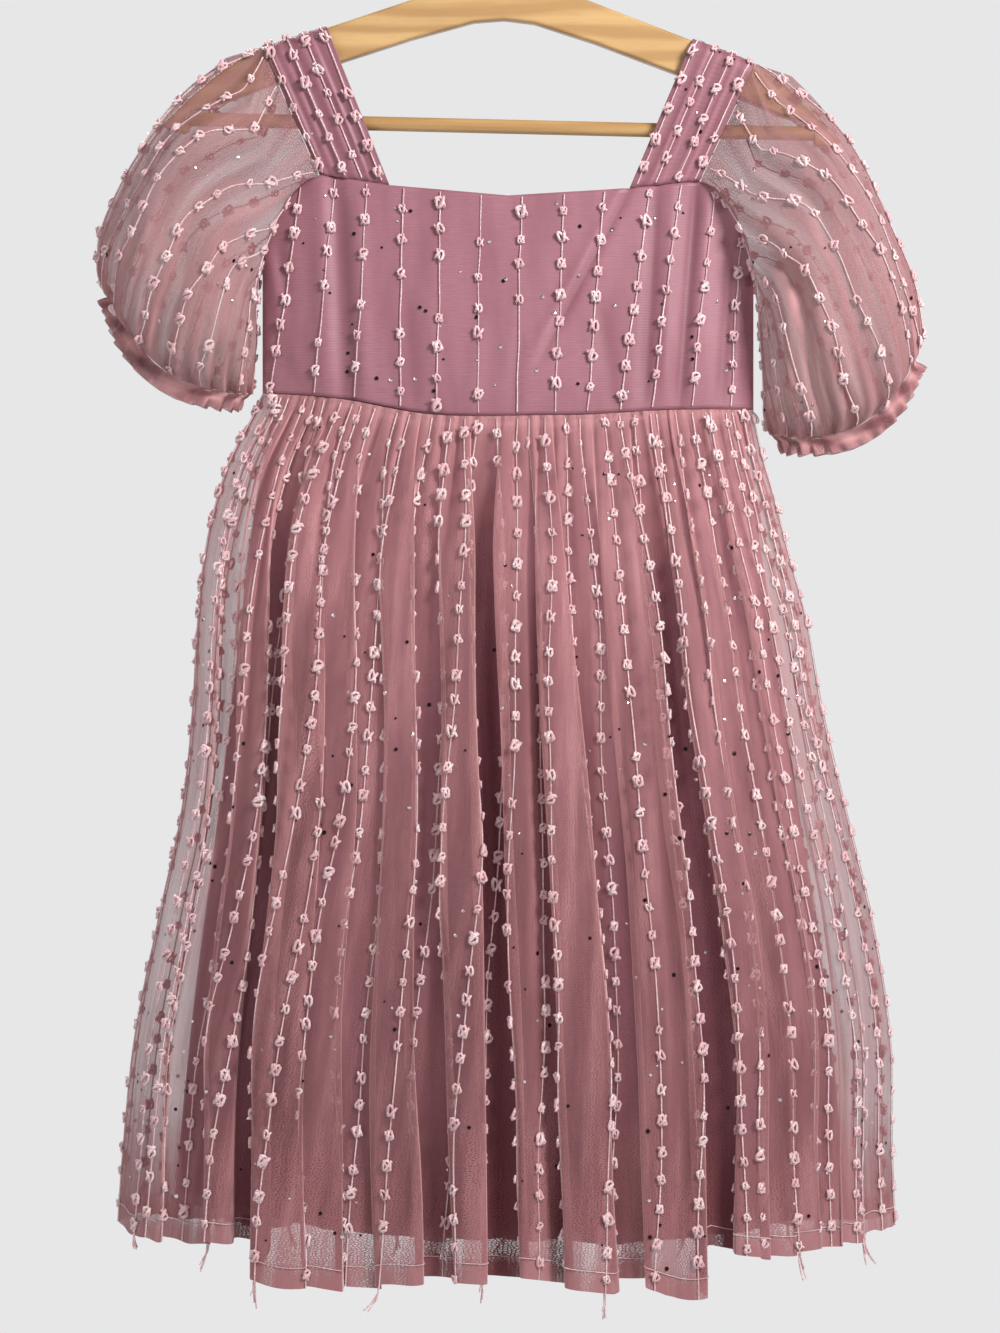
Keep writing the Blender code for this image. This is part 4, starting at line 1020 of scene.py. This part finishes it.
def sleeveSwell(which, way, angle):
    # Gathers at the armhole and the cuff, with wrinkles between them
    seed = 2.0 if which == "left" else 6.0
    nearCap = np.exp(-(way / 0.30) ** 2) * (0.55 + 0.45 * np.cos(angle))
    nearCuff = smooth((way - 0.45) / 0.55) ** 1.5
    capPhase = sleeveSizes["capGathers"] * angle + 1.2 * np.sin(2.0 * angle + seed)
    cuffPhase = sleeveSizes["cuffGathers"] * angle + 1.4 * np.sin(3.0 * angle + seed)
    swell = 0.0011 * nearCap * np.cos(capPhase) + 0.0016 * nearCuff * np.cos(cuffPhase)
    fullness = np.sin(math.pi * np.clip(way, 0.0, 1.0)) ** 0.8
    for atCap, atCuff, width, height in sleeveCreases[which]:
        middle = mix(atCap, atCuff, way) + 0.10 * waver(way, 3.0 * atCap + seed, 5.0)
        swell = swell + 0.8 * height * fullness * np.exp(-((angle - middle) / width) ** 2)
    return swell + 0.0008 * fullness * np.sin(9.0 * angle + 14.0 * way + seed)


def sleevePoint(which, way, angle, plain=False):
    way, angle = np.broadcast_arrays(np.asarray(way, float), np.asarray(angle, float))
    angle = np.mod(angle, 2.0 * math.pi)
    first = sleeveSizes[which]["way"][0]
    swell = np.zeros(way.shape) if plain else sleeveSwell(which, way, angle)
    ring = sleeveRing(which, np.maximum(way, first), angle, swell)
    seam = armholePoint(which, angle)
    share = np.clip(way / first, 0.0, 1.0)[..., None]
    return mix(seam, ring, share)


def makeRound(part, which, angle, down, points, folded, deep, cloth, finish):
    # A sleeve or cuff: a net closed round the arm, with its cloth's width and length for the uv
    uv = clothUv(cloth[0] * angle / (2.0 * math.pi), -cloth[1] * down)
    grids = [grid[:, :-1] for grid in turned(which == "left", points, uv, folded, deep)]
    name = part + which.title()
    mesh = sheetMesh(name, grids[0], grids[1], {"folded": grids[2], "deep": grids[3]}, around=True)
    made = linkObject(name, mesh, finish)
    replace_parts(made, part + "_" + which)
    return made


def makeSleeve(which):
    angle, way = gridAxes((0.0, 2.0 * math.pi), (0.0, 1.0), sleeveSizes["columns"], sleeveSizes["rows"])
    points = sleevePoint(which, way, angle)
    folded = turnedMark(points, sleevePoint(which, way, angle, plain=True), *sleeveSizes["foldMark"])
    ends = (0.55 * np.exp(-((1.0 - way) / 0.07) ** 2) + 0.12 * np.exp(-(way / 0.05) ** 2)
            + 0.26 * smooth((way - 0.12) / 0.30))
    folded = np.clip(folded + ends, 0.0, 1.0)
    # Painted shade in stripes over the gathers at the cuff and, less, at the armhole
    deep = 0.95 * np.exp(-((1.0 - way) / 0.14) ** 2) + 0.30 * np.exp(-(way / 0.10) ** 2)
    deep = deep * (0.5 + 0.5 * np.sin(17.0 * angle + 2.0 * np.sin(3.0 * angle)))
    sleeve = makeRound("sleeve", which, angle, way, points, folded, deep, sleeveSizes["cut"], sleeveNet)


def cuffPoint(which, down, angle):
    down, angle = np.broadcast_arrays(np.asarray(down, float), np.asarray(angle, float))
    angle = np.mod(angle, 2.0 * math.pi)
    rows = sleeveSizes[which]
    side = strapSizes[which]["side"]
    runX, runZ = rows["underX"][-1] - rows["topX"][-1], rows["underZ"][-1] - rows["topZ"][-1]
    length = math.hypot(runX, runZ)
    drop = cuffSizes["gap"] + cuffSizes["height"] * down
    phase = cuffSizes["gathers"] * angle + 1.3 * np.sin(2.0 * angle + side)
    least, more = cuffSizes["frill"]
    height = (least + more * smooth((down - 0.40) / 0.60)) * (0.62 + 0.38 * np.sin(5.0 * angle + 2.0))
    pinch = -cuffSizes["pinch"] * np.exp(-((down - 0.42) / 0.14) ** 2)
    points = sleeveRing(which, np.ones(angle.shape), angle, height * np.cos(phase) + pinch)
    points[..., 0] -= runZ / length * side * drop
    points[..., 2] += runX / length * side * drop
    return points


def makeCuff(which):
    angle, down = gridAxes((0.0, 2.0 * math.pi), (0.0, 1.0), cuffSizes["columns"], cuffSizes["rows"])
    points = cuffPoint(which, down, angle)
    folded = np.broadcast_to(0.35 + 0.65 * np.exp(-((down - 0.42) / 0.22) ** 2), points.shape[:2])
    # Painted shade in the hollows of the gathered frill, in patches round the cuff
    patches = 0.5 + 0.5 * np.sin(13.0 * angle + 2.5 * np.sin(2.0 * angle) + 3.0 * down)
    deep = np.clip((0.50 + 0.75 * np.exp(-((down - 0.34) / 0.32) ** 2)) * patches, 0.0, 1.0)
    cuff = makeRound("cuff", which, angle, down, points, folded, deep, cuffSizes["weave"], cuffNet)


makeHangerArms()
makeHangerBar()
makeHangerHook()
print("hanger made")
for side in ("front", "back"):
    makeBodice(side)
    makeSkirt(side)
    makeLining(side)
print("bodice, skirt and lining made")
for which in ("left", "right"):
    makeStrap(which)
    makeSleeve(which)
    makeCuff(which)
print("straps, sleeves and cuffs made")

for node in ("zip_slider", "zip_pull"):
    zipObject = bpy.data.objects[node]
    zipObject.data.materials.clear()
    zipObject.data.materials.append(zipEnamel)


# Centre back closure: two satin lips that meet over the zip, from the neck to the waist seam

zipLips = {
    "gap": 0.0004, "width": 0.0075, "height": 0.0012, "rollAt": 0.16, "roll": 0.17,
    "columns": 10, "rows": 60, "stitchAt": 0.0062, "backLift": 0.0006, "sunk": 0.0002,
    "ripple": 0.00012, "wall": 0.0004, "length": 0.15,
}


def zipLipPoint(x, v):
    across = np.clip((np.abs(x) - zipLips["gap"]) / zipLips["width"], 0.0, 1.0)
    rise = zipLips["height"] * np.exp(-((across - zipLips["rollAt"]) / zipLips["roll"]) ** 2)
    atZip = zipLips["backLift"] + zipLips["ripple"] * np.sin(70.0 * v)
    rise = rise + atZip * (1.0 - across) - zipLips["sunk"]
    return bodicePoint("back", x, mix(neckHeight(x), waistHeight(x), v), rise)


def makeZipLips():
    for label, side in (("Left", -1.0), ("Right", 1.0)):
        u, v = gridAxes((0.0, 1.0), (0.004, 0.998), zipLips["columns"], zipLips["rows"])
        x = side * (zipLips["gap"] + zipLips["width"] * u ** 1.4)
        points, uv = turned(side < 0, zipLipPoint(x, v), clothUv(x, -zipLips["length"] * v))
        lip = linkObject("zipLip" + label, sheetMesh("zipLip" + label, points, uv), satin)
        solidify(lip, zipLips["wall"])


makeZipLips()


# Embroidery: yarn strings with a knot every 20 mm, sequins and stitches, laid on the cloth by Geometry Nodes

embroidery = {
    "yarnRadius": 0.00060, "yarnSides": 3, "yarnStep": 0.0042, "yarnLift": 0.0005,
    "knotSpacing": 0.0196, "knotJitter": 0.0030, "knotMissing": 0.05, "knotLift": 0.0006, "knotSpread": 0.24,
    "knotHalfWidth": 0.0023, "knotHalfLength": 0.0031, "knotYarn": 0.00092, "knotPoints": 22,
    "tail": (0.007, 0.018), "tailStrands": 4, "tailFrom": 0.0008, "tailPlace": (0.0, 0.35, 0.7, 1.0),
    "skirtStrings": 36, "sleeveStrings": 15, "sleeveLean": 0.42, "strapStrings": (0.08, 0.36, 0.63, 0.92),
    "bodiceStrings": (-0.1465, -0.1205, -0.0965, -0.0700, -0.0455, -0.0190, 0.0073, 0.0337, 0.0574, 0.0832,
                      0.1036, 0.1280, 0.1500),
    "bodiceLean": (0.010, 0.007, 0.004, 0.001, 0.001, 0.001, 0.002, 0.003, 0.006, 0.010, 0.010, 0.008, 0.004),
    "bodiceReach": 0.1605, "zipClear": 0.0170,
    "largeSequin": (0.00135, 0.00025), "smallSequin": (0.000837, 0.0002), "sequinLift": 0.0005,
    "sequinSpread": 0.15,
    "stitchLength": 0.0030, "stitchSpacing": 0.0046, "stitchLift": 0.0002, "stitchSpread": 0.08,
    "threadRadius": 0.00042, "hemSpan": 0.995, "hemPoints": 460, "hemLift": 0.0004,
}
# Numbers of dark and bright sequins, and where they lie across and along each part
sequinPlaces = {
    "skirt": ((210, 170), (-0.96, 0.96), (0.02, 0.97), 0.9),
    "bodice": ((26, 24), (-0.15, 0.15), (0.05, 0.95)),
    "strap": ((4, 8), (0.1, 0.9), (-0.9, 0.9)),
    "sleeve": ((14, 34), (0.0, 2.0 * math.pi), (0.05, 0.95)),
}


def newTree(name, **inputs):
    # A Geometry Nodes tree with named inputs; returns it with its first and last nodes
    tree = bpy.data.node_groups.new(name, "GeometryNodeTree")
    tree.interface.new_socket("Geometry", in_out="OUTPUT", socket_type="NodeSocketGeometry")
    for label, kind in {"Geometry": "Geometry", **inputs, "Material": "Material"}.items():
        tree.interface.new_socket(label, in_out="INPUT", socket_type="NodeSocket" + kind)
    return tree, tree.nodes.new("NodeGroupInput"), tree.nodes.new("NodeGroupOutput")


def finishTree(tree, first, last, source, output):
    # Both trees end alike: real geometry with the material given
    realize, finish = [addNode(tree, "GeometryNode" + kind) for kind in ("RealizeInstances", "SetMaterial")]
    wire(tree, (source, output, realize, "Geometry"), (realize, "Geometry", finish, "Geometry"),
         (first, "Material", finish, "Material"), (finish, "Geometry", last, "Geometry"))
    return tree


def makeYarnTree():
    # Lines of points become yarn of a given thickness
    tree, first, last = newTree("yarnAlongLines", Radius="Float", Sides="Int")
    toCurve, profile, toMesh, shade = [addNode(tree, "GeometryNode" + kind) for kind in (
        "MeshToCurve", "CurvePrimitiveCircle", "CurveToMesh", "SetShadeSmooth")]
    toMesh.inputs["Fill Caps"].default_value = True
    wire(tree, (first, "Radius", profile, "Radius"), (first, "Sides", profile, "Resolution"),
         (first, "Geometry", toCurve, "Mesh"), (toCurve, "Curve", toMesh, "Curve"),
         (profile, "Curve", toMesh, "Profile Curve"), (toMesh, "Mesh", shade, 0))
    return finishTree(tree, first, last, shade, 0)


def makeScatterTree():
    # A variant of a small shape on each point, turned by the point's own frame
    tree, first, last = newTree("shapesOnPoints", Variants="Collection", Count="Int", Size="Float",
                                Spread="Float", Seed="Int")
    variants = addNode(tree, "GeometryNodeCollectionInfo",
                       **{"Separate Children": True, "Reset Children": True})
    pick = addNode(tree, "FunctionNodeRandomValue", data_type="INT")
    grow = addNode(tree, "FunctionNodeRandomValue")
    least, most, top = [addNode(tree, "ShaderNodeMath", operation=kind)
                        for kind in ("SUBTRACT", "ADD", "SUBTRACT")]
    top.inputs[1].default_value = 1.0
    turn = addNode(tree, "GeometryNodeInputNamedAttribute", data_type="FLOAT_VECTOR", Name="turn")
    place = addNode(tree, "GeometryNodeInstanceOnPoints", **{"Pick Instance": True})
    for node in (least, most):
        wire(tree, (first, "Size", node, 0), (first, "Spread", node, 1))
    wire(tree, (first, "Count", top, 0), (top, 0, pick, "Max"),
         (least, 0, grow, "Min"), (most, 0, grow, "Max"),
         (first, "Seed", pick, "Seed"), (first, "Seed", grow, "Seed"),
         (first, "Variants", variants, "Collection"), (variants, 0, place, "Instance"),
         (first, "Geometry", place, "Points"), (grow, "Value", place, "Scale"),
         (pick, "Value", place, "Instance Index"),
         (turn, "Attribute", place, "Rotation"))
    return finishTree(tree, first, last, place, "Instances")


def runTree(tree, name, base, slotName, **values):
    # Run a tree over a base mesh and keep the result as a plain mesh
    carrier = bpy.data.objects.new(name + "Carrier", base)
    bpy.context.scene.collection.objects.link(carrier)
    worked = carrier.modifiers.new("work", "NODES")
    worked.node_group = tree
    for item in tree.interface.items_tree:
        if item.in_out == "INPUT" and item.name in values:
            worked[item.identifier] = values[item.name]
    mesh = bpy.data.meshes.new_from_object(carrier.evaluated_get(bpy.context.evaluated_depsgraph_get()))
    mesh.name = name
    bpy.data.objects.remove(carrier)
    bpy.data.meshes.remove(base)
    return linkObject(name, mesh, None)


def plainMesh(name, verts, edges=(), faces=(), rounded=False):
    mesh = bpy.data.meshes.new(name)
    mesh.from_pydata([tuple(v) for v in verts], list(edges), list(faces))
    if rounded:
        mesh.shade_smooth()
    return mesh


def knotVariant(name, wavesAcross, wavesAlong, phase):
    # One crumpled yarn knot: a closed loop of yarn that crosses itself
    sizes, sides = embroidery, embroidery["yarnSides"]
    count = sizes["knotPoints"]
    t = np.linspace(0.0, 2.0 * math.pi, count, endpoint=False)
    route = np.stack([sizes["knotHalfWidth"] * np.sin(wavesAcross * t + phase),
                      sizes["knotHalfLength"] * np.sin(wavesAlong * t + 0.3 * np.sin(t)),
                      0.0009 + 0.0008 * np.cos((wavesAcross + wavesAlong) * t + phase)], axis=1)
    heading = np.roll(route, -1, axis=0) - np.roll(route, 1, axis=0)
    heading /= np.linalg.norm(heading, axis=1, keepdims=True)
    side = np.cross(heading, (0.0, 0.0, 1.0))
    side /= np.linalg.norm(side, axis=1, keepdims=True)
    up = np.cross(side, heading)
    turns = [2.0 * math.pi * j / sides for j in range(sides)]
    verts = [route[i] + sizes["knotYarn"] * (math.cos(turn) * side[i] + math.sin(turn) * up[i])
             for i in range(count) for turn in turns]
    faces = [(i * sides + j, ((i + 1) % count) * sides + j,
              ((i + 1) % count) * sides + (j + 1) % sides, i * sides + (j + 1) % sides)
             for i in range(count) for j in range(sides)]
    return plainMesh(name, verts, faces=faces, rounded=True)


def discVariant(name, radius, crown):
    turns = [math.radians(60.0 * k) for k in range(6)]
    corners = [(radius * math.cos(turn), radius * math.sin(turn), 0.0) for turn in turns]
    return plainMesh(name, corners + [(0.0, 0.0, crown)], faces=[(k, (k + 1) % 6, 6) for k in range(6)])


def stitchVariant(name, half, radius):
    verts = [(0.0, -half, 0.0), (radius, 0.0, 0.0), (0.0, 0.0, 1.3 * radius), (-radius, 0.0, 0.0),
             (0.0, half, 0.0)]
    faces = [(0, 1, 2), (0, 2, 3), (1, 4, 2), (2, 4, 3), (0, 3, 1), (1, 3, 4)]
    return plainMesh(name, verts, faces=faces, rounded=True)


def makeVariants(name, *meshes):
    group = bpy.data.collections.new(name)
    for mesh in meshes:
        group.objects.link(bpy.data.objects.new(mesh.name, mesh))
    return group


yarnTree = makeYarnTree()
scatterTree = makeScatterTree()
knotVariants = makeVariants(
    "knotVariants", knotVariant("knotA", 2, 3, 0.5), knotVariant("knotB", 3, 2, 0.9),
    knotVariant("knotC", 2, 3, 1.9), knotVariant("knotD", 3, 4, 0.4))
sequinVariants = makeVariants(
    "sequinVariants", discVariant("sequinLarge", *embroidery["largeSequin"]),
    discVariant("sequinSmall", *embroidery["smallSequin"]))
stitchVariants = makeVariants(
    "stitchVariants", stitchVariant("stitchA", 0.5 * embroidery["stitchLength"], embroidery["threadRadius"]))


def lengthAlong(points):
    return np.concatenate([[0.0], np.cumsum(np.linalg.norm(np.diff(points, axis=0), axis=1))])


def clothFrames(surface, sign, a, b, lift):
    # Points lifted off a cloth, with the directions out of it and along it
    step = 1e-3
    across = surface(a + step, b) - surface(a - step, b)
    along = surface(a, np.minimum(b + step, 1.0)) - surface(a, b - step)
    out = sign * np.cross(across, along)
    out /= np.maximum(np.linalg.norm(out, axis=-1, keepdims=True), 1e-12)
    along /= np.maximum(np.linalg.norm(along, axis=-1, keepdims=True), 1e-12)
    return surface(a, b) + lift * out, out, along


def framedPoints(place, out, along, spin):
    # A list of points, each with the turn of the shape that stands on it
    spots = []
    for point, z, y, angle in zip(place, out, along, spin):
        z, y = Vector(z), Vector(y)
        x = y.cross(z).normalized()
        frameMatrix = Matrix((x, z.cross(x), z)).transposed() @ Matrix.Rotation(angle, 3, "Z")
        spots.append((point, tuple(frameMatrix.to_euler())))
    return spots


def placeShapes(name, slotName, spots, variants, spread, seed, finish):
    if not spots:
        return
    base = plainMesh(name, [point for point, _ in spots])
    turns = base.attributes.new("turn", "FLOAT_VECTOR", "POINT")
    turns.data.foreach_set("vector", np.array([turn for _, turn in spots], float).reshape(-1))
    runTree(scatterTree, name, base, slotName, Variants=variants, Count=len(variants.objects), Size=1.0,
            Spread=spread, Seed=seed, Material=finish)


class Embroiderer:
    # Gathers the strings, knots and sequins of one part of the dress, then makes them

    def __init__(self, name, slotName, seed, surface, sign):
        self.name, self.slotName, self.surface, self.sign = name, slotName, surface, sign
        self.draw = np.random.default_rng(seed)
        self.lines, self.knots, self.sequins = [], [], {"Dark": [], "Bright": []}

    def frames(self, a, b, lift):
        return clothFrames(self.surface, self.sign, a, b, lift)

    def wander(self, length, size):
        # A slow uneven drift along a string
        return size * waver(np.linspace(0.0, 1.0, length), self.draw.uniform(0.0, 9.0), 6.0)

    def addTail(self, end, reachSpan):
        # Loose yarn ends that hang from the end of a string
        lean = self.draw.uniform(-0.5, 0.5)
        for _ in range(embroidery["tailStrands"]):
            reach = self.draw.uniform(*reachSpan)
            start = end + self.draw.uniform(-embroidery["tailFrom"], embroidery["tailFrom"], 3)
            bend = lean + self.draw.uniform(-0.25, 0.25)
            self.lines.append(np.array([start + reach * k * np.array((bend * k, -0.08, -1.0))
                                        for k in embroidery["tailPlace"]]))

    def addString(self, a, b, tail=None):
        # One string along the cloth through a(b), with its knots
        spacing = embroidery["knotSpacing"]
        points = self.frames(a, b, embroidery["yarnLift"])[0]
        length = lengthAlong(points)
        at = np.linspace(0.0, length[-1], max(int(length[-1] / embroidery["yarnStep"]), 2))
        line = np.stack([np.interp(at, length, points[:, k]) for k in range(3)], axis=1)
        if tail:
            self.addTail(line[-1], tail)
        self.lines.append(line)
        spots = np.arange(self.draw.uniform(0.2, 1.0) * spacing, length[-1] - 0.002, spacing)
        spots = spots + self.draw.uniform(-1, 1, len(spots)) * embroidery["knotJitter"]
        spots = np.clip(spots, 0.001, length[-1])
        spots = spots[self.draw.uniform(0, 1, len(spots)) > embroidery["knotMissing"]]
        if len(spots):
            spotA, spotB = np.interp(spots, length, a), np.interp(spots, length, b)
            frames = self.frames(spotA, spotB, embroidery["knotLift"])
            spin = self.draw.uniform(-0.45, 0.45, len(spots))
            spin = spin + math.pi * self.draw.integers(0, 2, len(spots))
            self.knots += framedPoints(*frames, spin)

    def addSequins(self, numbers, spanA, spanB, crowding=1.0):
        for kind, number in zip(self.sequins, numbers):
            a = self.draw.uniform(*spanA, number)
            frames = self.frames(a, self.draw.uniform(*spanB, number) ** crowding, embroidery["sequinLift"])
            self.sequins[kind] += framedPoints(*frames, self.draw.uniform(0, 6.28, number))

    def make(self):
        verts, edges = [], []
        for line in self.lines:
            edges += [(len(verts) + k, len(verts) + k + 1) for k in range(len(line) - 1)]
            verts += line.tolist()
        base = plainMesh(self.name + "Lines", verts, edges)
        runTree(yarnTree, self.name + "Strings", base, self.slotName, Radius=embroidery["yarnRadius"],
                Sides=embroidery["yarnSides"], Material=stringYarn)
        placeShapes(self.name + "Knots", self.slotName, self.knots, knotVariants,
                    embroidery["knotSpread"], 5, yarn)
        for kind, finish in (("Dark", darkSequin), ("Bright", brightSequin)):
            placeShapes(self.name + kind + "Sequins", self.slotName, self.sequins[kind], sequinVariants,
                        embroidery["sequinSpread"], 5, finish)


def embroiderSkirt(side, seed):
    sign = -1.0 if side == "front" else 1.0

    def surface(s, v):
        return skirtPoint(side, s, v)

    work = Embroiderer("skirt" + side.title(), "skirt_net", seed, surface, sign)
    b = np.linspace(0.004, 1.0, 220)
    count = embroidery["skirtStrings"]
    for k in range(count):
        middle = -1.0 + 2.0 * (k + 0.5 + work.draw.uniform(-0.36, 0.36)) / count
        a = middle + work.wander(len(b), 0.006)
        work.addString(a, b, embroidery["tail"] if k % 4 == 1 else None)
    work.addSequins(*sequinPlaces["skirt"])
    work.make()
    s = np.linspace(-embroidery["hemSpan"], embroidery["hemSpan"], embroidery["hemPoints"])
    hemAt = np.full(s.shape, 1.0 - skirt["hemBand"] / skirt["cut"][1])
    points = work.frames(s, hemAt, embroidery["hemLift"])[0].tolist()
    base = plainMesh("hemLine", points, [(k, k + 1) for k in range(len(points) - 1)])
    runTree(yarnTree, "hemThread" + side.title(), base, "skirt_net", Radius=embroidery["threadRadius"],
            Sides=embroidery["yarnSides"], Material=threadYarn)


def embroiderBodice(side, seed):
    def surface(x, v):
        return bodicePoint(side, x, mix(neckHeight(x), waistHeight(x), v))

    sign = -1.0 if side == "front" else 1.0
    work = Embroiderer("bodice" + side.title(), "bodice_satin", seed, surface, sign)
    b = np.linspace(0.01, 0.985, 60)
    reach, clear = embroidery["bodiceReach"], embroidery["zipClear"]
    for x, lean in zip(embroidery["bodiceStrings"], embroidery["bodiceLean"]):
        if side == "back" and abs(x) < clear:
            x = math.copysign(clear, x)
        a = x + lean * (0.5 - b) * 2.0 + work.wander(len(b), 0.0008)
        work.addString(np.clip(a, -reach, reach), b)
    work.addSequins(*sequinPlaces["bodice"])
    work.make()


def embroiderStrap(which, seed):
    def surface(outward, along):
        return strapPoint(which, outward, along)

    work = Embroiderer("strap" + which.title(), "bodice_satin", seed, surface, strapSizes[which]["side"])
    b = np.linspace(-0.99, 0.99, 160)
    for place in embroidery["strapStrings"]:
        work.addString(place + work.wander(len(b), 0.02), b)
    work.addSequins(*sequinPlaces["strap"])
    work.make()


def embroiderSleeve(which, seed):
    def surface(angle, way):
        return sleevePoint(which, way, angle)

    work = Embroiderer("sleeve" + which.title(), "sleeve_net", seed, surface, strapSizes[which]["side"])
    b = np.linspace(0.01, 0.99, 120)
    count = embroidery["sleeveStrings"]
    for k in range(count):
        middle = 2.0 * math.pi * (k + 0.5 + work.draw.uniform(-0.15, 0.15)) / count
        lean = embroidery["sleeveLean"] * math.sin(middle) * (b - 0.5)
        work.addString(middle + work.wander(len(b), 0.06) - lean, b)
    work.addSequins(*sequinPlaces["sleeve"])
    work.make()


def stitchLip(which):
    # A row of small stitches down one lip of the zip
    v = np.linspace(0.02, 0.98, 40)
    x = np.full(v.shape, strapSizes[which]["side"] * zipLips["stitchAt"])
    length = lengthAlong(zipLipPoint(x, v))
    at = np.arange(0.5 * embroidery["stitchSpacing"], length[-1], embroidery["stitchSpacing"])
    frames = clothFrames(zipLipPoint, 1.0, np.interp(at, length, x), np.interp(at, length, v),
                         embroidery["stitchLift"])
    placeShapes("zipStitches" + which.title(), "bodice_satin", framedPoints(*frames, np.zeros(len(at))),
                stitchVariants, embroidery["stitchSpread"], 3, threadYarn)


for side, seed in (("front", 11), ("back", 12)):
    embroiderSkirt(side, seed)
    embroiderBodice(side, seed + 10)
for which, seed in (("left", 31), ("right", 32)):
    embroiderStrap(which, seed)
    embroiderSleeve(which, seed + 10)
    stitchLip(which)
for group in (knotVariants, sequinVariants, stitchVariants):
    for shape in list(group.objects):
        bpy.data.objects.remove(shape)
    bpy.data.collections.remove(group)
print("embroidery made")


# Studio: pale floor well below the hem, soft light, the photograph's camera

studio = {
    "metresPerPixel": 0.00066, "imageWidth": 1000, "imageHeight": 1333,
    "hookPixelX": 508, "hookPixelY": -140, "distance": 2.4,
    "floorHeight": -1.35, "floorRadius": 1.9, "floorColour": (0.82, 0.82, 0.82),
    "worldColour": (0.95, 0.95, 0.96), "worldStrength": 0.84, "worldDim": 0.14, "worldFade": (0.18, 0.34),
}
# Place, point aimed at, side and power
lights = {
    "keyLight": ((1.05, -1.08, 0.52), (0.0, 0.0, -0.35), 0.5, 35.5),
    "fillLight": ((-1.2, -1.3, 0.2), (0.0, 0.0, -0.40), 0.9, 4.0),
    "backLight": ((-0.75, 0.90, 0.45), (0.0, 0.0, -0.40), 0.5, 20.0),
}


def makeFloor():
    work = bmesh.new()
    bmesh.ops.create_circle(work, cap_ends=True, segments=96, radius=studio["floorRadius"])
    bmesh.ops.translate(work, verts=work.verts[:], vec=(0.0, 0.0, studio["floorHeight"]))
    mesh = bpy.data.meshes.new("studioFloor")
    work.to_mesh(mesh)
    work.free()
    mesh.materials.append(studioMaterial("floorPaint", studio["floorColour"]))
    floor = bpy.data.objects.new("studioFloor", mesh)
    bpy.context.scene.collection.objects.link(floor)


def makeLight(name, place, aim, size, power):
    lamp = bpy.data.lights.new(name, "AREA")
    lamp.shape = "RECTANGLE"
    lamp.size = lamp.size_y = size
    lamp.energy = power
    light = bpy.data.objects.new(name, lamp)
    light.location = place
    light.visible_camera = False
    light.rotation_euler = (Vector(aim) - Vector(place)).to_track_quat("-Z", "Y").to_euler()
    bpy.context.scene.collection.objects.link(light)


def makeCamera():
    scale = studio["metresPerPixel"]
    x = (0.5 * studio["imageWidth"] - studio["hookPixelX"]) * scale
    z = -(0.5 * studio["imageHeight"] - studio["hookPixelY"]) * scale
    lens = bpy.data.cameras.new("photoCamera")
    lens.sensor_fit = "VERTICAL"
    lens.angle = 2.0 * math.atan(0.5 * studio["imageHeight"] * scale / studio["distance"])
    camera = bpy.data.objects.new("photoCamera", lens)
    camera.location = (x, -studio["distance"], z)
    camera.rotation_euler = (math.radians(90.0), 0.0, 0.0)
    bpy.context.scene.collection.objects.link(camera)
    bpy.context.scene.camera = camera


def makeWorld():
    # Pale all round at eye level, dimmer above and below, so that folds keep their shadows
    world = bpy.data.worlds.new("studioWorld")
    world.use_nodes = True
    tree = world.node_tree
    place, split = [tree.nodes.new("ShaderNode" + kind) for kind in ("TexCoord", "SeparateXYZ")]
    level = addNode(tree, "ShaderNodeMath", operation="ABSOLUTE")
    first, full = studio["worldFade"]
    fade = addNode(tree, "ShaderNodeMapRange", interpolation_type="SMOOTHSTEP", **{
        "From Min": first, "From Max": full, "To Min": studio["worldStrength"], "To Max": studio["worldDim"]})
    background = tree.nodes["Background"]
    background.inputs["Color"].default_value = (*studio["worldColour"], 1.0)
    wire(tree, (place, "Generated", split, "Vector"), (split, "Z", level, 0), (level, "Value", fade, "Value"),
         (fade, "Result", background, "Strength"))
    bpy.context.scene.world = world


makeFloor()
makeWorld()
for name, light in lights.items():
    makeLight(name, *light)
bpy.context.scene.view_settings.view_transform = "Standard"
makeCamera()
print("studio made")
